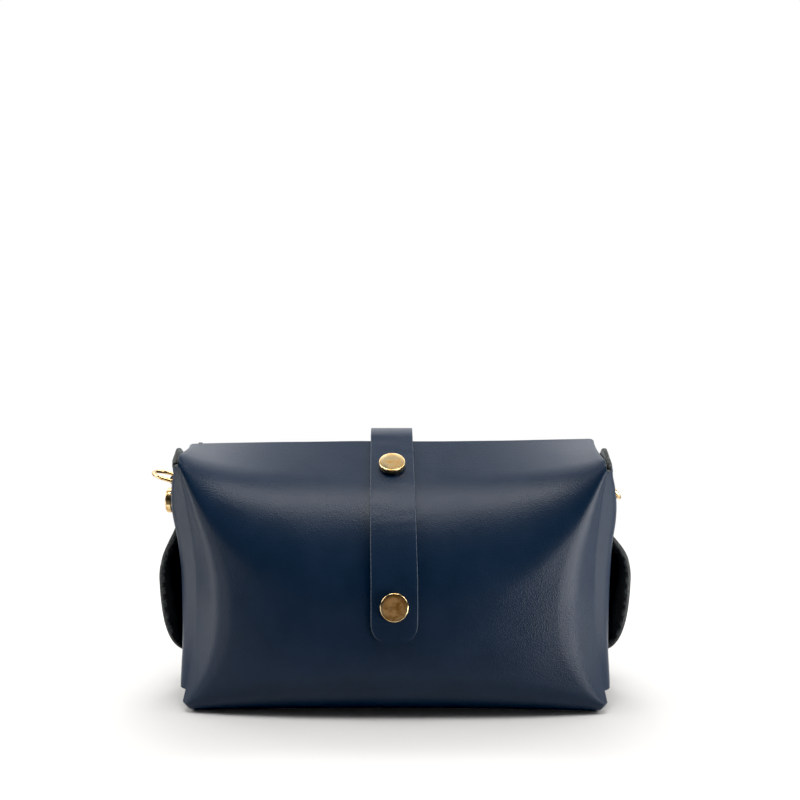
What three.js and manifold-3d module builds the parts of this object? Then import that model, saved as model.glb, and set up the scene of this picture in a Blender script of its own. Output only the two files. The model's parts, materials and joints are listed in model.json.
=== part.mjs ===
// A mini handbag folded from one piece of smooth leather: base, front, back, two lips that lean together
// over the mouth, a wing at each end of the front and back that wraps round the side, and a short flap that
// the base tucks up inside. A closing strap runs from the back over the mouth to the front. Disc-headed
// studs hold the strap and the overlapping wings, and each side stud also holds a tab with a D-ring.
// Millimetres, +Z up, the front faces -Y, and the origin is the middle of the base.
import * as THREE from "three";
import { mergeVertices } from "three/addons/utils/BufferGeometryUtils.js";
import Module from "manifold-3d";

const wasm = await Module();
wasm.setup();

// Leather
const LEATHER = 1.8; // thickness of the hide
const GAP = 0.35; // clearance between neighbouring pieces
const LAYER = LEATHER + GAP; // one hide and its clearance
const BASE_HALF = 93.6; // half the width of the base
const RIM_HALF = 93.5; // half the width of the tube at the height of the wings' rims
const LIP_FLARE = 3.4; // the ends of a lip spread this much further
const LIP_CORNER = 2.5; // radius of the lip's cut corners

// Half of the girth, from the middle of the base to the lip. out is measured from the mid-plane towards
// the front or the back, up from the ground, and bend is the radius of the outer face at that corner.
const FRONT = {
  middle: [
    { out: 0, up: 0, bend: 0 },
    { out: 50, up: 0, bend: 22 },
    { out: 50, up: 78.4, bend: 74 },
    { out: 1, up: 116.7, bend: 0 },
  ],
  left: [
    { out: 0, up: 0, bend: 0 },
    { out: 38, up: 0, bend: 4.5 },
    { out: 38, up: 113, bend: 6 },
    { out: 1, up: 115.4, bend: 0 },
  ],
  right: [
    { out: 0, up: 0, bend: 0 },
    { out: 40, up: 0, bend: 4.5 },
    { out: 40, up: 110.2, bend: 6 },
    { out: 1, up: 118, bend: 0 },
  ],
};
const MOUTH = 9; // width of the mouth between the two lips
const BACK_DROP = 1.8; // the back lip sits this much lower
const BACK = Object.fromEntries(
  Object.entries(FRONT).map(([place, rows]) => [place, rows.map((row, i) => backRow(row, i, rows.length))]),
);
const FULLNESS = 2.4; // how late the tight end folds open into the full middle
const LEAN = { shift: -1.6, from: 60, to: 120 }; // the upper part settles a little to the left

// Side wings. reach is the half width of the bag over the front wing at a height.
const SIDE = [
  { up: 0, reach: 93.4 },
  { up: 9, reach: 95.6 },
  { up: 24, reach: 97.4 },
  { up: 44, reach: 99 },
  { up: 62, reach: 100 },
  { up: 72, reach: 101.2 },
  { up: 82, reach: 101.9 },
  { up: 90, reach: 101.4 },
  { up: 98, reach: 99.5 },
  { up: 104, reach: 97.4 },
  { up: 114.6, reach: 96.4 },
];
const FOLD_TIGHT = 6.5; // size of the vertical fold at the four corners of a panel
const FOLD_FULL = 39; // size of the vertical fold half way up
// Section of the vertical fold in shares of its size: a crease, a flat stretch and the turn into the side
const FOLD = { crease: 0.42, turn: THREE.MathUtils.degToRad(42), flat: 0.5, side: 0.35 };
const FRONT_WING_FOOT = 9; // height of the front wing's lower edge
const BACK_WING_FOOT = 12.8; // height of the back wing's lower edge
const WING_RIM = 114.6; // height of a wing's upper edge
const WING_ROOT = 30; // out of the wing's outline at its foot and rim
const WING_ROUND = 4.2; // exponent of the wing's rounded outline
const SLIT = 3.6; // slit between a wing's upper end and the lip
const FRONT_WING_TIP = -8; // out of the front wing's free edge, past the mid-plane
const BACK_WING_TIP = -6; // out of the back wing's free edge, past the mid-plane
const WING_OVER = LEATHER + 0.65; // the back wing lies this far outside the front wing
const FLARE = { lift: 9.6, from: 26, high: 86, low: 52 }; // the back wing's free edge peels outwards
// How far the side stud draws the wings in, and the flat and the faded reach of that hollow
const DIMPLE = { left: 2.7, right: 5.7, up: 91.5, upFlat: 12, upFade: 30, outFlat: 7, outFade: 21 };
const FLAP_LENGTH = 31.5; // base flap, past the end of the base
const FLAP_WIDTH = 0.9; // share of the flat base that the flap spans
const FLAP_TURN = THREE.MathUtils.degToRad(118); // it leans in behind the wings
const FLAP_ROUND = 4;

// Rows and columns of the hide's mesh
const ROWS = { base: 4, hem: 1, fold: 3, foot: 1, wall: 11, shoulder: 3, lip: 3, corner: 2 };
const COLUMNS = [0, 0.16, 0.32, 0.47, 0.6, 0.71, 0.77, 0.83, 0.9, 0.96, 1]; // shares of the half width
const FLAP_COLUMNS = [0.04, 0.08, 0.25, 0.5, 0.75, 1];
const RIM_ROWS = 2;

// Columns of a wing, from the slit to its free edge, and how much of the rim's height stands over each
const WING_COLUMNS = [
  { share: 0, rise: 0.2 },
  { share: 0.06, rise: 0.4 },
  { share: 0.14, rise: 0.68 },
  { share: 0.24, rise: 1 },
  { share: 0.38, rise: 0.78 },
  { share: 0.56, rise: 0.48 },
  { share: 0.76, rise: 0.3 },
  { share: 0.9, rise: 0.16 },
  { share: 1, rise: 0.04 },
];

// Closing strap, in depth and height of its outer face. Its slopes lie along the front lip and the back.
const STRAP = { half: 10, tip: 34.4, tail: 46, crestBend: 17, backSlope: 60, round: 3, step: 7 };
const STRAP_ENDS = [0, 0.8, 2, 4, 7, 11]; // rows close to an end, where it is rounded

// Studs: a flat disc head, a post through the leather and a washer inside
const STUD = { head: 6, height: 3, chamfer: 0.6, post: 1.7, washer: 4.5, washerHeight: 1, sides: 16 };
const STUD_HOLE = 2.1; // radius of the hole through the leather
const SIDE_STUD_SLACK = 1.3; // the side stud's post is this much longer than the layers it holds
const DRILL = 11; // how deep a stud hole is cut to either side of its seat
const SNAP_UP = 49.4;
const UPPER_STUD_Y = -18.5;
const BACK_STUD_ANGLE = 15; // where the back stud sits round the back's shoulder
const SIDE_STUD_UP = 88.4;

// Ring tabs and D-rings
const TAB = { thick: 2.2, half: 4.5, foot: 83, eye: 98.4, hole: 1.4, gap: 0.8, curl: 2.6 };
const RING = { wire: 0.9, half: 6.6, arm: 5, corner: 2, sides: 8 };
const RING_TILT = { left: 14, right: -50 }; // degrees above level at rest

const NAVY_LEATHER = { color: "#232c40", roughness: 0.42, metalness: 0 };
const DARK_LEATHER = { color: "#16181c", roughness: 0.7, metalness: 0 };
const GOLD = { color: "#c79f55", roughness: 0.18, metalness: 1 };

/** A named piece with its own finish. */
function piece(name, geometry, finish) {
  const mesh = new THREE.Mesh(geometry, new THREE.MeshStandardMaterial(finish));
  mesh.name = name;
  return mesh;
}

/** The back has the front's rows, with its lip across the mouth and a little lower. */
function backRow(row, index, count) {
  const lip = { out: MOUTH - row.out, up: row.up - BACK_DROP, bend: 0 };
  return index === count - 1 ? lip : { ...row };
}

// Profiles

/** A path through the rows, with each inner corner rounded to its bend. */
function roundedPath(rows) {
  const path = new THREE.Path();
  path.moveTo(rows[0].out, rows[0].up);
  for (let i = 1; i < rows.length - 1; i++) addFold(path, rows[i - 1], rows[i], rows[i + 1]);
  const last = rows[rows.length - 1];
  return path.lineTo(last.out, last.up);
}

function addFold(path, before, corner, after) {
  const at = new THREE.Vector2(corner.out, corner.up);
  const into = at.clone().sub(new THREE.Vector2(before.out, before.up)).normalize();
  const away = new THREE.Vector2(after.out, after.up).sub(at).normalize();
  const turn = Math.atan2(into.cross(away), into.dot(away));
  const start = at.clone().addScaledVector(into, -corner.bend * Math.tan(Math.abs(turn) / 2));
  const toCentre = new THREE.Vector2(-into.y, into.x).multiplyScalar(Math.sign(turn) * corner.bend);
  const centre = start.clone().add(toCentre);
  const angle = toCentre.negate().angle();
  path.lineTo(start.x, start.y);
  path.absarc(centre.x, centre.y, corner.bend, angle, angle + turn, turn < 0);
}

function mixRows(from, to, share) {
  const mix = THREE.MathUtils.lerp;
  return from.map((row, i) => ({
    out: mix(row.out, to[i].out, share),
    up: mix(row.up, to[i].up, share),
    bend: mix(row.bend, to[i].bend, share),
  }));
}

/** The inward side of a path at a share of its length. */
function inwardAt(path, share) {
  const tangent = path.getTangent(share);
  return new THREE.Vector2(-tangent.y, tangent.x);
}

// Side of the bag

const reachCurve = new THREE.CubicInterpolant(
  SIDE.map((row) => row.up),
  SIDE.map((row) => row.reach),
  1,
);

/** Half width of the bag at a height. The back's wings lie over the front's. */
function sideReach(up, half) {
  const height = THREE.MathUtils.clamp(up, 0, WING_RIM);
  const over = half.sign > 0 ? WING_OVER * THREE.MathUtils.smoothstep(height, 0, half.foot) : 0;
  return reachCurve.evaluate(height)[0] + over;
}

/** Size of the vertical fold: tight at the corners of the panel, full between them. */
function foldSize(up, end) {
  const middle = (end.low + end.slit) / 2;
  const away = Math.abs(up - middle) / ((end.slit - end.low) / 2);
  return FOLD_TIGHT + (FOLD_FULL - FOLD_TIGHT) * Math.max(0, 1 - away ** 2.5);
}

/** How far on and how far in the hide lies at a length past the start of a fold that turns it by an angle. */
function foldAt(past, size, angle) {
  const clamp = THREE.MathUtils.clamp;
  const creased = FOLD.crease * FOLD.turn;
  const length = past / size;
  const first = clamp(length / FOLD.crease, 0, FOLD.turn);
  const flat = clamp(length - creased, 0, FOLD.flat);
  const second = FOLD.turn + clamp((length - creased - FOLD.flat) / FOLD.side, 0, angle - FOLD.turn);
  const beyond = Math.max(0, length - creased - FOLD.flat - FOLD.side * (angle - FOLD.turn));
  const on = FOLD.crease * Math.sin(first) + flat * Math.cos(FOLD.turn);
  const inward = FOLD.crease * (1 - Math.cos(first)) + flat * Math.sin(FOLD.turn);
  return {
    on: size * (on + FOLD.side * (Math.sin(second) - Math.sin(FOLD.turn)) + beyond * Math.cos(angle)),
    inward: size * (inward + FOLD.side * (Math.cos(FOLD.turn) - Math.cos(second)) + beyond * Math.sin(angle)),
  };
}

/** The length of hide from the middle of the bag's width to the start of a fold. */
function foldStart(reach, size) {
  return reach - foldAt(4 * size, size, Math.PI / 2).on;
}

/** Where the hide lies when wrapped round a fold: its place across, and how far in from the panel. */
function wrap(along, reach, size, angle) {
  const start = foldStart(reach, size);
  const round = foldAt(Math.max(0, along - start), size, angle);
  return { across: Math.min(along, start) + round.on, inward: round.inward };
}

/** The length of hide that reaches a distance in from the panel round the vertical fold. */
function alongTo(inward, reach, size) {
  let near = 0;
  let far = inward + 2 * size;
  for (let i = 0; i < 40; i++) {
    const middle = (near + far) / 2;
    if (foldAt(middle, size, Math.PI / 2).inward < inward) near = middle;
    else far = middle;
  }
  return foldStart(reach, size) + near;
}

// The hide as a sheet of quads, thickened inwards

class Sheet {
  constructor() {
    this.points = [];
    this.places = new Map();
    this.faces = [];
  }

  vertex(point) {
    const key = point.toArray().map((v) => Math.round(v * 1000)).join();
    if (!this.places.has(key)) {
      this.places.set(key, this.points.length);
      this.points.push(point);
    }
    return this.places.get(key);
  }

  /** Adds a grid of points. flip turns its faces round. */
  patch(rows, flip) {
    const ids = rows.map((row) => row.map((point) => this.vertex(point)));
    for (let i = 0; i + 1 < ids.length; i++) {
      for (let j = 0; j + 1 < ids[i].length; j++) {
        const ring = [ids[i][j], ids[i][j + 1], ids[i + 1][j + 1], ids[i + 1][j]];
        if (flip) ring.reverse();
        this.faces.push([ring[0], ring[1], ring[2]], [ring[0], ring[2], ring[3]]);
      }
    }
  }

  normals() {
    const sums = this.points.map(() => new THREE.Vector3());
    for (const [a, b, c] of this.faces) {
      const side = this.points[b].clone().sub(this.points[a]);
      const area = side.cross(this.points[c].clone().sub(this.points[a]));
      for (const id of [a, b, c]) sums[id].add(area);
    }
    return sums.map((sum) => sum.normalize());
  }

  /** A closed solid: the sheet, its inner face, and the cut edges between them. */
  solid(thickness) {
    const inner = this.points.length;
    const normals = this.normals();
    const points = [...this.points];
    this.points.forEach((point, i) => points.push(point.clone().addScaledVector(normals[i], -thickness)));
    const faces = [...this.faces, ...this.faces.map(([a, b, c]) => [c + inner, b + inner, a + inner])];
    const edges = new Set(this.faces.flatMap(([a, b, c]) => [`${a},${b}`, `${b},${c}`, `${c},${a}`]));
    for (const edge of edges) {
      const [a, b] = edge.split(",").map(Number);
      if (edges.has(`${b},${a}`)) continue;
      faces.push([b, a, a + inner], [b, a + inner, b + inner]);
    }
    return geometryFrom(points, faces);
  }
}

function geometryFrom(points, faces) {
  const geometry = new THREE.BufferGeometry();
  const places = points.flatMap((point) => point.toArray());
  geometry.setAttribute("position", new THREE.Float32BufferAttribute(places, 3));
  geometry.setIndex(faces.flat());
  return geometry;
}

// Cutting

function toManifold(geometry) {
  const bare = geometry.clone();
  for (const name of Object.keys(bare.attributes)) if (name !== "position") bare.deleteAttribute(name);
  const merged = mergeVertices(bare, 1e-4);
  const corners = merged.index.array;
  const kept = [];
  for (let i = 0; i < corners.length; i += 3) {
    const [a, b, c] = corners.slice(i, i + 3);
    if (a !== b && b !== c && c !== a) kept.push(a, b, c);
  }
  const vertProperties = merged.attributes.position.array;
  const triVerts = new Uint32Array(kept);
  return new wasm.Manifold(new wasm.Mesh({ numProp: 3, vertProperties, triVerts }));
}

function toGeometry(manifold) {
  const mesh = manifold.getMesh();
  const geometry = new THREE.BufferGeometry();
  geometry.setAttribute("position", new THREE.BufferAttribute(Float32Array.from(mesh.vertProperties), 3));
  geometry.setIndex(new THREE.BufferAttribute(Uint32Array.from(mesh.triVerts), 1));
  return geometry;
}

/** The geometry with a stud hole at each seat. */
function pierce(geometry, seats, depth) {
  let solid = toManifold(geometry);
  for (const seat of seats) {
    const drill = new THREE.CylinderGeometry(STUD_HOLE, STUD_HOLE, 2 * depth, STUD.sides);
    drill.applyMatrix4(seatMatrix(seat));
    solid = solid.subtract(toManifold(drill));
  }
  return toGeometry(solid);
}

/** Places a piece made along +Y on a seat, with +Y along the seat's axis. */
function seatMatrix(seat) {
  const turn = new THREE.Quaternion().setFromUnitVectors(new THREE.Vector3(0, 1, 0), seat.axis);
  return new THREE.Matrix4().compose(seat.at, turn, new THREE.Vector3(1, 1, 1));
}

// Leather body

const HALVES = {
  front: { sign: -1, table: FRONT, tip: FRONT_WING_TIP, foot: FRONT_WING_FOOT, flare: 0 },
  back: { sign: 1, table: BACK, tip: BACK_WING_TIP, foot: BACK_WING_FOOT, flare: FLARE.lift },
};
const ENDS = { left: -1, right: 1 };

/** The profile of one end of one half, with the shares of its length where the hide's rows lie. */
function endProfile(half, end) {
  const path = roundedPath(half.table[end]);
  const lengths = path.getCurveLengths();
  const total = path.getLength();
  const low = half.table[end][1].bend;
  const slit = path.getPoint(lengths[2] / total).y;
  const foot = lengths[1] + half.foot - low;
  const walls = [lengths[0], lengths[1], foot, lengths[2], lengths[3]];
  const stops = [0, lengths[0] * FLAP_WIDTH, ...walls, total - LIP_CORNER, total];
  const counts = [ROWS.base, ROWS.hem, ROWS.fold, ROWS.foot, ROWS.wall, ROWS.shoulder, ROWS.lip, ROWS.corner];
  const shares = [0];
  counts.forEach((count, stretch) => {
    for (let i = 1; i <= count; i++) {
      shares.push(THREE.MathUtils.lerp(stops[stretch], stops[stretch + 1], i / count) / total);
    }
  });
  return { path, shares, low, slit, total, shoulder: lengths[3] };
}

const FOOT_ROW = ROWS.base + ROWS.hem + ROWS.fold + ROWS.foot;
const SLIT_ROW = FOOT_ROW + ROWS.wall;

/** How far the bag has settled sideways at a height. */
function leanAt(up) {
  return (LEAN.shift * Math.max(0, up - LEAN.from)) / (LEAN.to - LEAN.from);
}

/** Half the width of the tube at a height. */
function panelHalf(up) {
  return THREE.MathUtils.mapLinear(up, 0, WING_RIM, BASE_HALF, RIM_HALF);
}

/** How far the tube spreads at a row, towards the ends of the lip. */
function lipSpread(profile, row) {
  const length = profile.shares[row] * profile.total;
  return LIP_FLARE * (Math.max(0, length - profile.shoulder) / (profile.total - profile.shoulder)) ** 2.2;
}

/** Half the width of the tube at a row. The lip's corners are cut round. */
function tubeHalf(profile, row) {
  const past = Math.max(0, (profile.shares[row] - 1) * profile.total + LIP_CORNER);
  const cut = LIP_CORNER - Math.sqrt(Math.max(0, LIP_CORNER ** 2 - past ** 2));
  return panelHalf(profile.path.getPoint(profile.shares[row]).y) + lipSpread(profile, row) - cut;
}

/** A point of the tube of base, panels and lips. share is taken of the half width, from the middle. */
function panelPoint(half, end, row, share) {
  const profile = half.ends[end];
  const fullness = share ** FULLNESS;
  const path = roundedPath(mixRows(half.table.middle, half.table[end], fullness));
  const level = (half.ends.left.shares[row] + half.ends.right.shares[row]) / 2;
  const place = path.getPoint(THREE.MathUtils.lerp(level, profile.shares[row], fullness));
  const endUp = profile.path.getPoint(profile.shares[row]).y;
  const inward = inwardAt(profile.path, profile.shares[row]);
  const along = share * tubeHalf(profile, row);
  const reach = sideReach(endUp, half) + lipSpread(profile, row);
  const round = wrap(along, reach, foldSize(endUp, profile), Math.PI / 2);
  place.addScaledVector(inward, round.inward);
  return new THREE.Vector3(ENDS[end] * round.across + leanAt(place.y), half.sign * place.x, place.y);
}

/** How far out of the panel's plane a wing's free edge lies at a height. */
function wingEdge(half, up) {
  const middle = (half.foot + WING_RIM) / 2;
  const away = Math.min(1, Math.abs(up - middle) / ((WING_RIM - half.foot) / 2));
  return THREE.MathUtils.lerp(WING_ROOT, half.tip, (1 - away ** WING_ROUND) ** (1 / WING_ROUND));
}

/** The share of the side stud's hollow at a place on the side. */
function dimpleAt(up, out) {
  const inUp = 1 - THREE.MathUtils.smoothstep(Math.abs(up - DIMPLE.up), DIMPLE.upFlat, DIMPLE.upFade);
  return inUp * (1 - THREE.MathUtils.smoothstep(Math.abs(out), DIMPLE.outFlat, DIMPLE.outFade));
}

/** A point of a wing at a height. along is the length of hide from the middle of the bag's width. */
function wingPoint(half, end, up, along) {
  const profile = half.ends[end];
  const round = wrap(along, sideReach(up, half), foldSize(up, profile), Math.PI / 2);
  const out = half.table[end][1].out - round.inward;
  const peel = Math.max(0, FLARE.from - out) / (FLARE.from - half.tip);
  const loose = 1 - THREE.MathUtils.smoothstep(up, FLARE.low, FLARE.high);
  const across = round.across + half.flare * loose * peel ** 2 - DIMPLE[end] * dimpleAt(up, out);
  return new THREE.Vector3(ENDS[end] * across + leanAt(up), half.sign * out, up);
}

/** The lengths of hide to each column of a wing at a height. */
function wingAlongs(half, end, up) {
  const inward = half.table[end][1].out - wingEdge(half, up);
  const tip = alongTo(inward, sideReach(up, half), foldSize(up, half.ends[end]));
  const start = panelHalf(up) + SLIT;
  return WING_COLUMNS.map((column) => THREE.MathUtils.lerp(start, tip, column.share));
}

function addWing(sheet, half, end) {
  const profile = half.ends[end];
  const flip = ENDS[end] * half.sign > 0;
  const rows = [];
  for (let row = FOOT_ROW; row <= SLIT_ROW; row++) {
    const up = profile.path.getPoint(profile.shares[row]).y;
    const points = wingAlongs(half, end, up).map((along) => wingPoint(half, end, up, along));
    rows.push([panelPoint(half, end, row, 1), ...points]);
  }
  sheet.patch(rows, flip);
  const alongs = wingAlongs(half, end, profile.slit);
  const rim = [];
  for (let i = 0; i <= RIM_ROWS; i++) {
    const rise = ((WING_RIM - profile.slit) * i) / RIM_ROWS;
    const ups = WING_COLUMNS.map((column) => profile.slit + rise * column.rise);
    rim.push(alongs.map((along, k) => wingPoint(half, end, ups[k], along)));
  }
  sheet.patch(rim, flip);
}

/** The base's end, folded up and leaning in behind the wings. */
function addBaseFlap(sheet, half, end) {
  const profile = half.ends[end];
  const widest = half.table[end][1].out - half.table[end][1].bend;
  const rows = [];
  for (let row = 0; row <= ROWS.base; row++) {
    const out = profile.path.getPoint(profile.shares[row]).x;
    const length = FLAP_LENGTH * (1 - (out / widest) ** FLAP_ROUND) ** (1 / FLAP_ROUND);
    const line = [panelPoint(half, end, row, 1)];
    for (const share of FLAP_COLUMNS) {
      const round = wrap(BASE_HALF + length * share, sideReach(0, half), FOLD_TIGHT, FLAP_TURN);
      line.push(new THREE.Vector3(ENDS[end] * round.across, half.sign * out, round.inward));
    }
    rows.push(line);
  }
  sheet.patch(rows, ENDS[end] * half.sign > 0);
}

function bodySheet() {
  const sheet = new Sheet();
  for (const half of Object.values(HALVES)) {
    half.ends = { left: endProfile(half, "left"), right: endProfile(half, "right") };
    for (const [end, sign] of Object.entries(ENDS)) {
      const columns = sign > 0 ? COLUMNS : [...COLUMNS].reverse();
      const rows = half.ends[end].shares.map((_, row) =>
        columns.map((share) => panelPoint(half, end, row, share)),
      );
      sheet.patch(rows, half.sign > 0);
      addWing(sheet, half, end);
      addBaseFlap(sheet, half, end);
    }
  }
  return sheet;
}

// Closing strap

/** A corner of the middle profile, moved outwards by a distance. */
function offsetCorner(rows, index, distance) {
  const at = (i) => new THREE.Vector2(rows[i].out, rows[i].up);
  const outward = (from, to) => {
    const way = at(to).sub(at(from)).normalize();
    return new THREE.Vector2(way.y, -way.x);
  };
  const before = outward(index - 1, index);
  const after = outward(index, index + 1);
  const push = before.clone().add(after).multiplyScalar(distance / (1 + before.dot(after)));
  return at(index).add(push);
}

function crossing(a, alongA, b, alongB) {
  const share = b.clone().sub(a).cross(alongB) / alongA.cross(alongB);
  return a.clone().addScaledVector(alongA, share);
}

/** The strap's outer line in depth and height, from its tip on the front to its tail on the back. */
function strapPath() {
  const shoulder = offsetCorner(FRONT.middle, 2, LAYER);
  const lip = FRONT.middle[3];
  const corner = FRONT.middle[2];
  const lipWay = new THREE.Vector2(corner.out - lip.out, lip.up - corner.up).normalize();
  const bend = BACK.middle[2].bend + LAYER;
  const slope = THREE.MathUtils.degToRad(STRAP.backSlope);
  const backWay = new THREE.Vector2(Math.cos(slope), -Math.sin(slope));
  const centre = backCentre();
  const touch = new THREE.Vector2(centre.x + bend * Math.sin(slope), centre.y + bend * Math.cos(slope));
  const front = new THREE.Vector2(-shoulder.x, shoulder.y);
  const back = BACK.middle[2].out + LAYER;
  const crest = crossing(front, lipWay, touch, backWay);
  const turn = crossing(touch, backWay, new THREE.Vector2(back, 0), new THREE.Vector2(0, 1));
  return roundedPath([
    { out: front.x, up: STRAP.tip, bend: 0 },
    { out: front.x, up: front.y, bend },
    { out: crest.x, up: crest.y, bend: STRAP.crestBend },
    { out: turn.x, up: turn.y, bend },
    { out: back, up: STRAP.tail, bend: 0 },
  ]);
}

/** The centre of the back's shoulder, in depth and height. */
function backCentre() {
  const [, , corner, lip] = BACK.middle;
  const slope = Math.atan2(lip.up - corner.up, corner.out - lip.out);
  const drop = corner.bend * Math.tan((Math.PI / 2 - slope) / 2);
  return new THREE.Vector2(corner.out - corner.bend, corner.up - drop);
}

function strapSheet(path) {
  const length = path.getLength();
  const last = STRAP_ENDS[STRAP_ENDS.length - 1];
  const plain = length - 2 * last;
  const count = Math.ceil(plain / STRAP.step);
  const middle = Array.from({ length: count - 1 }, (_, i) => last + ((i + 1) * plain) / count);
  const stations = [...STRAP_ENDS, ...middle, ...STRAP_ENDS.map((d) => length - d).reverse()];
  const rows = stations.map((station) => {
    const place = path.getPoint(station / length);
    const fromEnd = Math.min(station, length - station);
    const away = Math.max(0, 1 - fromEnd / STRAP.half);
    const width = Math.max(0.45, (1 - away ** STRAP.round) ** (1 / STRAP.round));
    const side = (share) => share * width * STRAP.half + leanAt(place.y);
    return [-1, 0, 1].map((share) => new THREE.Vector3(side(share), place.x, place.y));
  });
  const sheet = new Sheet();
  sheet.patch(rows, false);
  return sheet;
}

// Studs

/** The seat of a stud on the strap: the strap's outer face, at a share of the path. */
function strapSeat(path, share) {
  const place = path.getPoint(share);
  const outward = inwardAt(path, share);
  return {
    at: new THREE.Vector3(leanAt(place.y), place.x, place.y),
    axis: new THREE.Vector3(0, outward.x, outward.y),
  };
}

/** The share of the strap's path where a test on its place first holds. */
function shareWhere(path, test) {
  const steps = 4000;
  for (let i = 0; i <= steps; i++) {
    const share = i / steps;
    if (test(path.getPoint(share), inwardAt(path, share))) return share;
  }
  return 1;
}

function sideSeat(end) {
  const widest = Math.max(sideReach(TAB.foot, HALVES.back), sideReach(SIDE_STUD_UP, HALVES.back));
  const face = widest - DIMPLE[end] + TAB.gap + TAB.thick;
  const inside = sideReach(SIDE_STUD_UP, HALVES.front) - DIMPLE[end] - LEATHER;
  return {
    at: new THREE.Vector3(ENDS[end] * face + leanAt(SIDE_STUD_UP), 0, SIDE_STUD_UP),
    axis: new THREE.Vector3(ENDS[end], 0, 0),
    middle: ENDS[end] * (face - TAB.thick / 2) + leanAt(SIDE_STUD_UP),
    grip: face - inside + SIDE_STUD_SLACK,
  };
}

/** A disc-headed stud along +Y. The leather's outer face is at 0 and grip is the leather's thickness. */
function studGeometry(grip) {
  const top = GAP + STUD.height;
  const under = -grip - GAP;
  const outline = [
    [0, under - STUD.washerHeight],
    [STUD.washer, under - STUD.washerHeight],
    [STUD.washer, under],
    [STUD.post, under],
    [STUD.post, GAP],
    [STUD.head, GAP],
    [STUD.head, top - STUD.chamfer],
    [STUD.head - STUD.chamfer, top],
    [0, top],
  ];
  return new THREE.LatheGeometry(outline.map(([r, h]) => new THREE.Vector2(r, h)), STUD.sides);
}

function stud(name, seat, grip) {
  const mesh = piece(name, studGeometry(grip), GOLD);
  mesh.applyMatrix4(seatMatrix(seat));
  return mesh;
}

// Ring tabs and rings

/** A folded tab: two layers pressed together, with an eye for the ring's bar at the top. */
function tabGeometry() {
  const half = TAB.thick / 2;
  const rise = TAB.eye - TAB.foot;
  const neck = Math.asin(half / TAB.curl);
  const shape = new THREE.Shape();
  shape.moveTo(-half, 0);
  shape.lineTo(half, 0);
  shape.absarc(0, rise, TAB.curl, -Math.PI / 2 + neck, (3 * Math.PI) / 2 - neck, false);
  shape.closePath();
  const eye = new THREE.Path();
  eye.absarc(0, rise, TAB.hole, 0, 2 * Math.PI, true);
  shape.holes.push(eye);
  const settings = { depth: 2 * TAB.half, bevelEnabled: false, curveSegments: 9 };
  const geometry = new THREE.ExtrudeGeometry(shape, settings);
  return geometry.translate(0, 0, -TAB.half).rotateX(Math.PI / 2);
}

/** A D-ring whose bar lies along Y at the origin and whose arc reaches along +X. */
function ringGeometry() {
  const outline = roundedPath([
    { out: 0, up: 0, bend: 0 },
    { out: 0, up: RING.half, bend: RING.corner },
    { out: RING.arm, up: RING.half, bend: 0 },
  ]);
  const quarter = outline.getSpacedPoints(7);
  for (let i = 1; i <= 5; i++) {
    const angle = ((1 - i / 5) * Math.PI) / 2;
    quarter.push(new THREE.Vector2(RING.arm + RING.half * Math.cos(angle), RING.half * Math.sin(angle)));
  }
  const mirrored = quarter.slice(1, -1).reverse().map((p) => new THREE.Vector2(p.x, -p.y));
  const line = [...quarter, ...mirrored];
  const points = [];
  const faces = [];
  line.forEach((point, i) => {
    const before = line[(i + line.length - 1) % line.length];
    const after = line[(i + 1) % line.length];
    const way = after.clone().sub(before).normalize();
    for (let j = 0; j < RING.sides; j++) {
      const angle = (2 * Math.PI * (j + 0.5)) / RING.sides;
      const side = RING.wire * Math.cos(angle);
      const high = RING.wire * Math.sin(angle);
      points.push(new THREE.Vector3(point.x + way.y * side, point.y - way.x * side, high));
      const next = (j + 1) % RING.sides;
      const here = i * RING.sides;
      const there = ((i + 1) % line.length) * RING.sides;
      faces.push([here + j, there + next, here + next], [here + j, there + j, there + next]);
    }
  });
  return geometryFrom(points, faces);
}

/** The tab, its ring and the side stud's seat at one end of the bag. */
function ringSet(end) {
  const seat = sideSeat(end);
  const tab = piece(`ring_tab_${end}`, pierceTab(), DARK_LEATHER);
  tab.position.set(seat.middle, 0, TAB.foot);
  const ring = piece(`strap_ring_${end}`, ringGeometry(), GOLD);
  ring.position.set(seat.middle, 0, TAB.eye);
  const tilt = THREE.MathUtils.degToRad(RING_TILT[end]);
  ring.rotation.y = ENDS[end] > 0 ? -tilt : Math.PI + tilt;
  return [tab, ring, stud(`side_stud_${end}`, seat, seat.grip)];
}

function pierceTab() {
  const seat = { at: new THREE.Vector3(0, 0, SIDE_STUD_UP - TAB.foot), axis: new THREE.Vector3(1, 0, 0) };
  return pierce(tabGeometry(), [seat], TAB.thick);
}

// Assembly

const bag = new THREE.Group();
const path = strapPath();
const seats = {
  snap: strapSeat(path, shareWhere(path, (place) => place.y >= SNAP_UP)),
  upper: strapSeat(path, shareWhere(path, (place) => place.x >= UPPER_STUD_Y)),
  back: strapSeat(
    path,
    shareWhere(path, (place, out) => out.x > Math.cos(THREE.MathUtils.degToRad(BACK_STUD_ANGLE))),
  ),
};
const sideSeats = [sideSeat("left"), sideSeat("right")];
const strapGrip = LAYER + LEATHER;

const strapSeats = Object.values(seats);
const hide = pierce(bodySheet().solid(LEATHER), [...strapSeats, ...sideSeats], DRILL);
const strap = pierce(strapSheet(path).solid(LEATHER), strapSeats, DRILL);
bag.add(piece("body_leather", hide, NAVY_LEATHER));
bag.add(piece("closing_strap", strap, NAVY_LEATHER));
bag.add(stud("front_snap", seats.snap, strapGrip));
bag.add(stud("upper_stud", seats.upper, strapGrip));
bag.add(stud("back_stud", seats.back, strapGrip));
for (const end of Object.keys(ENDS)) bag.add(...ringSet(end));

export default bag;
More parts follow.
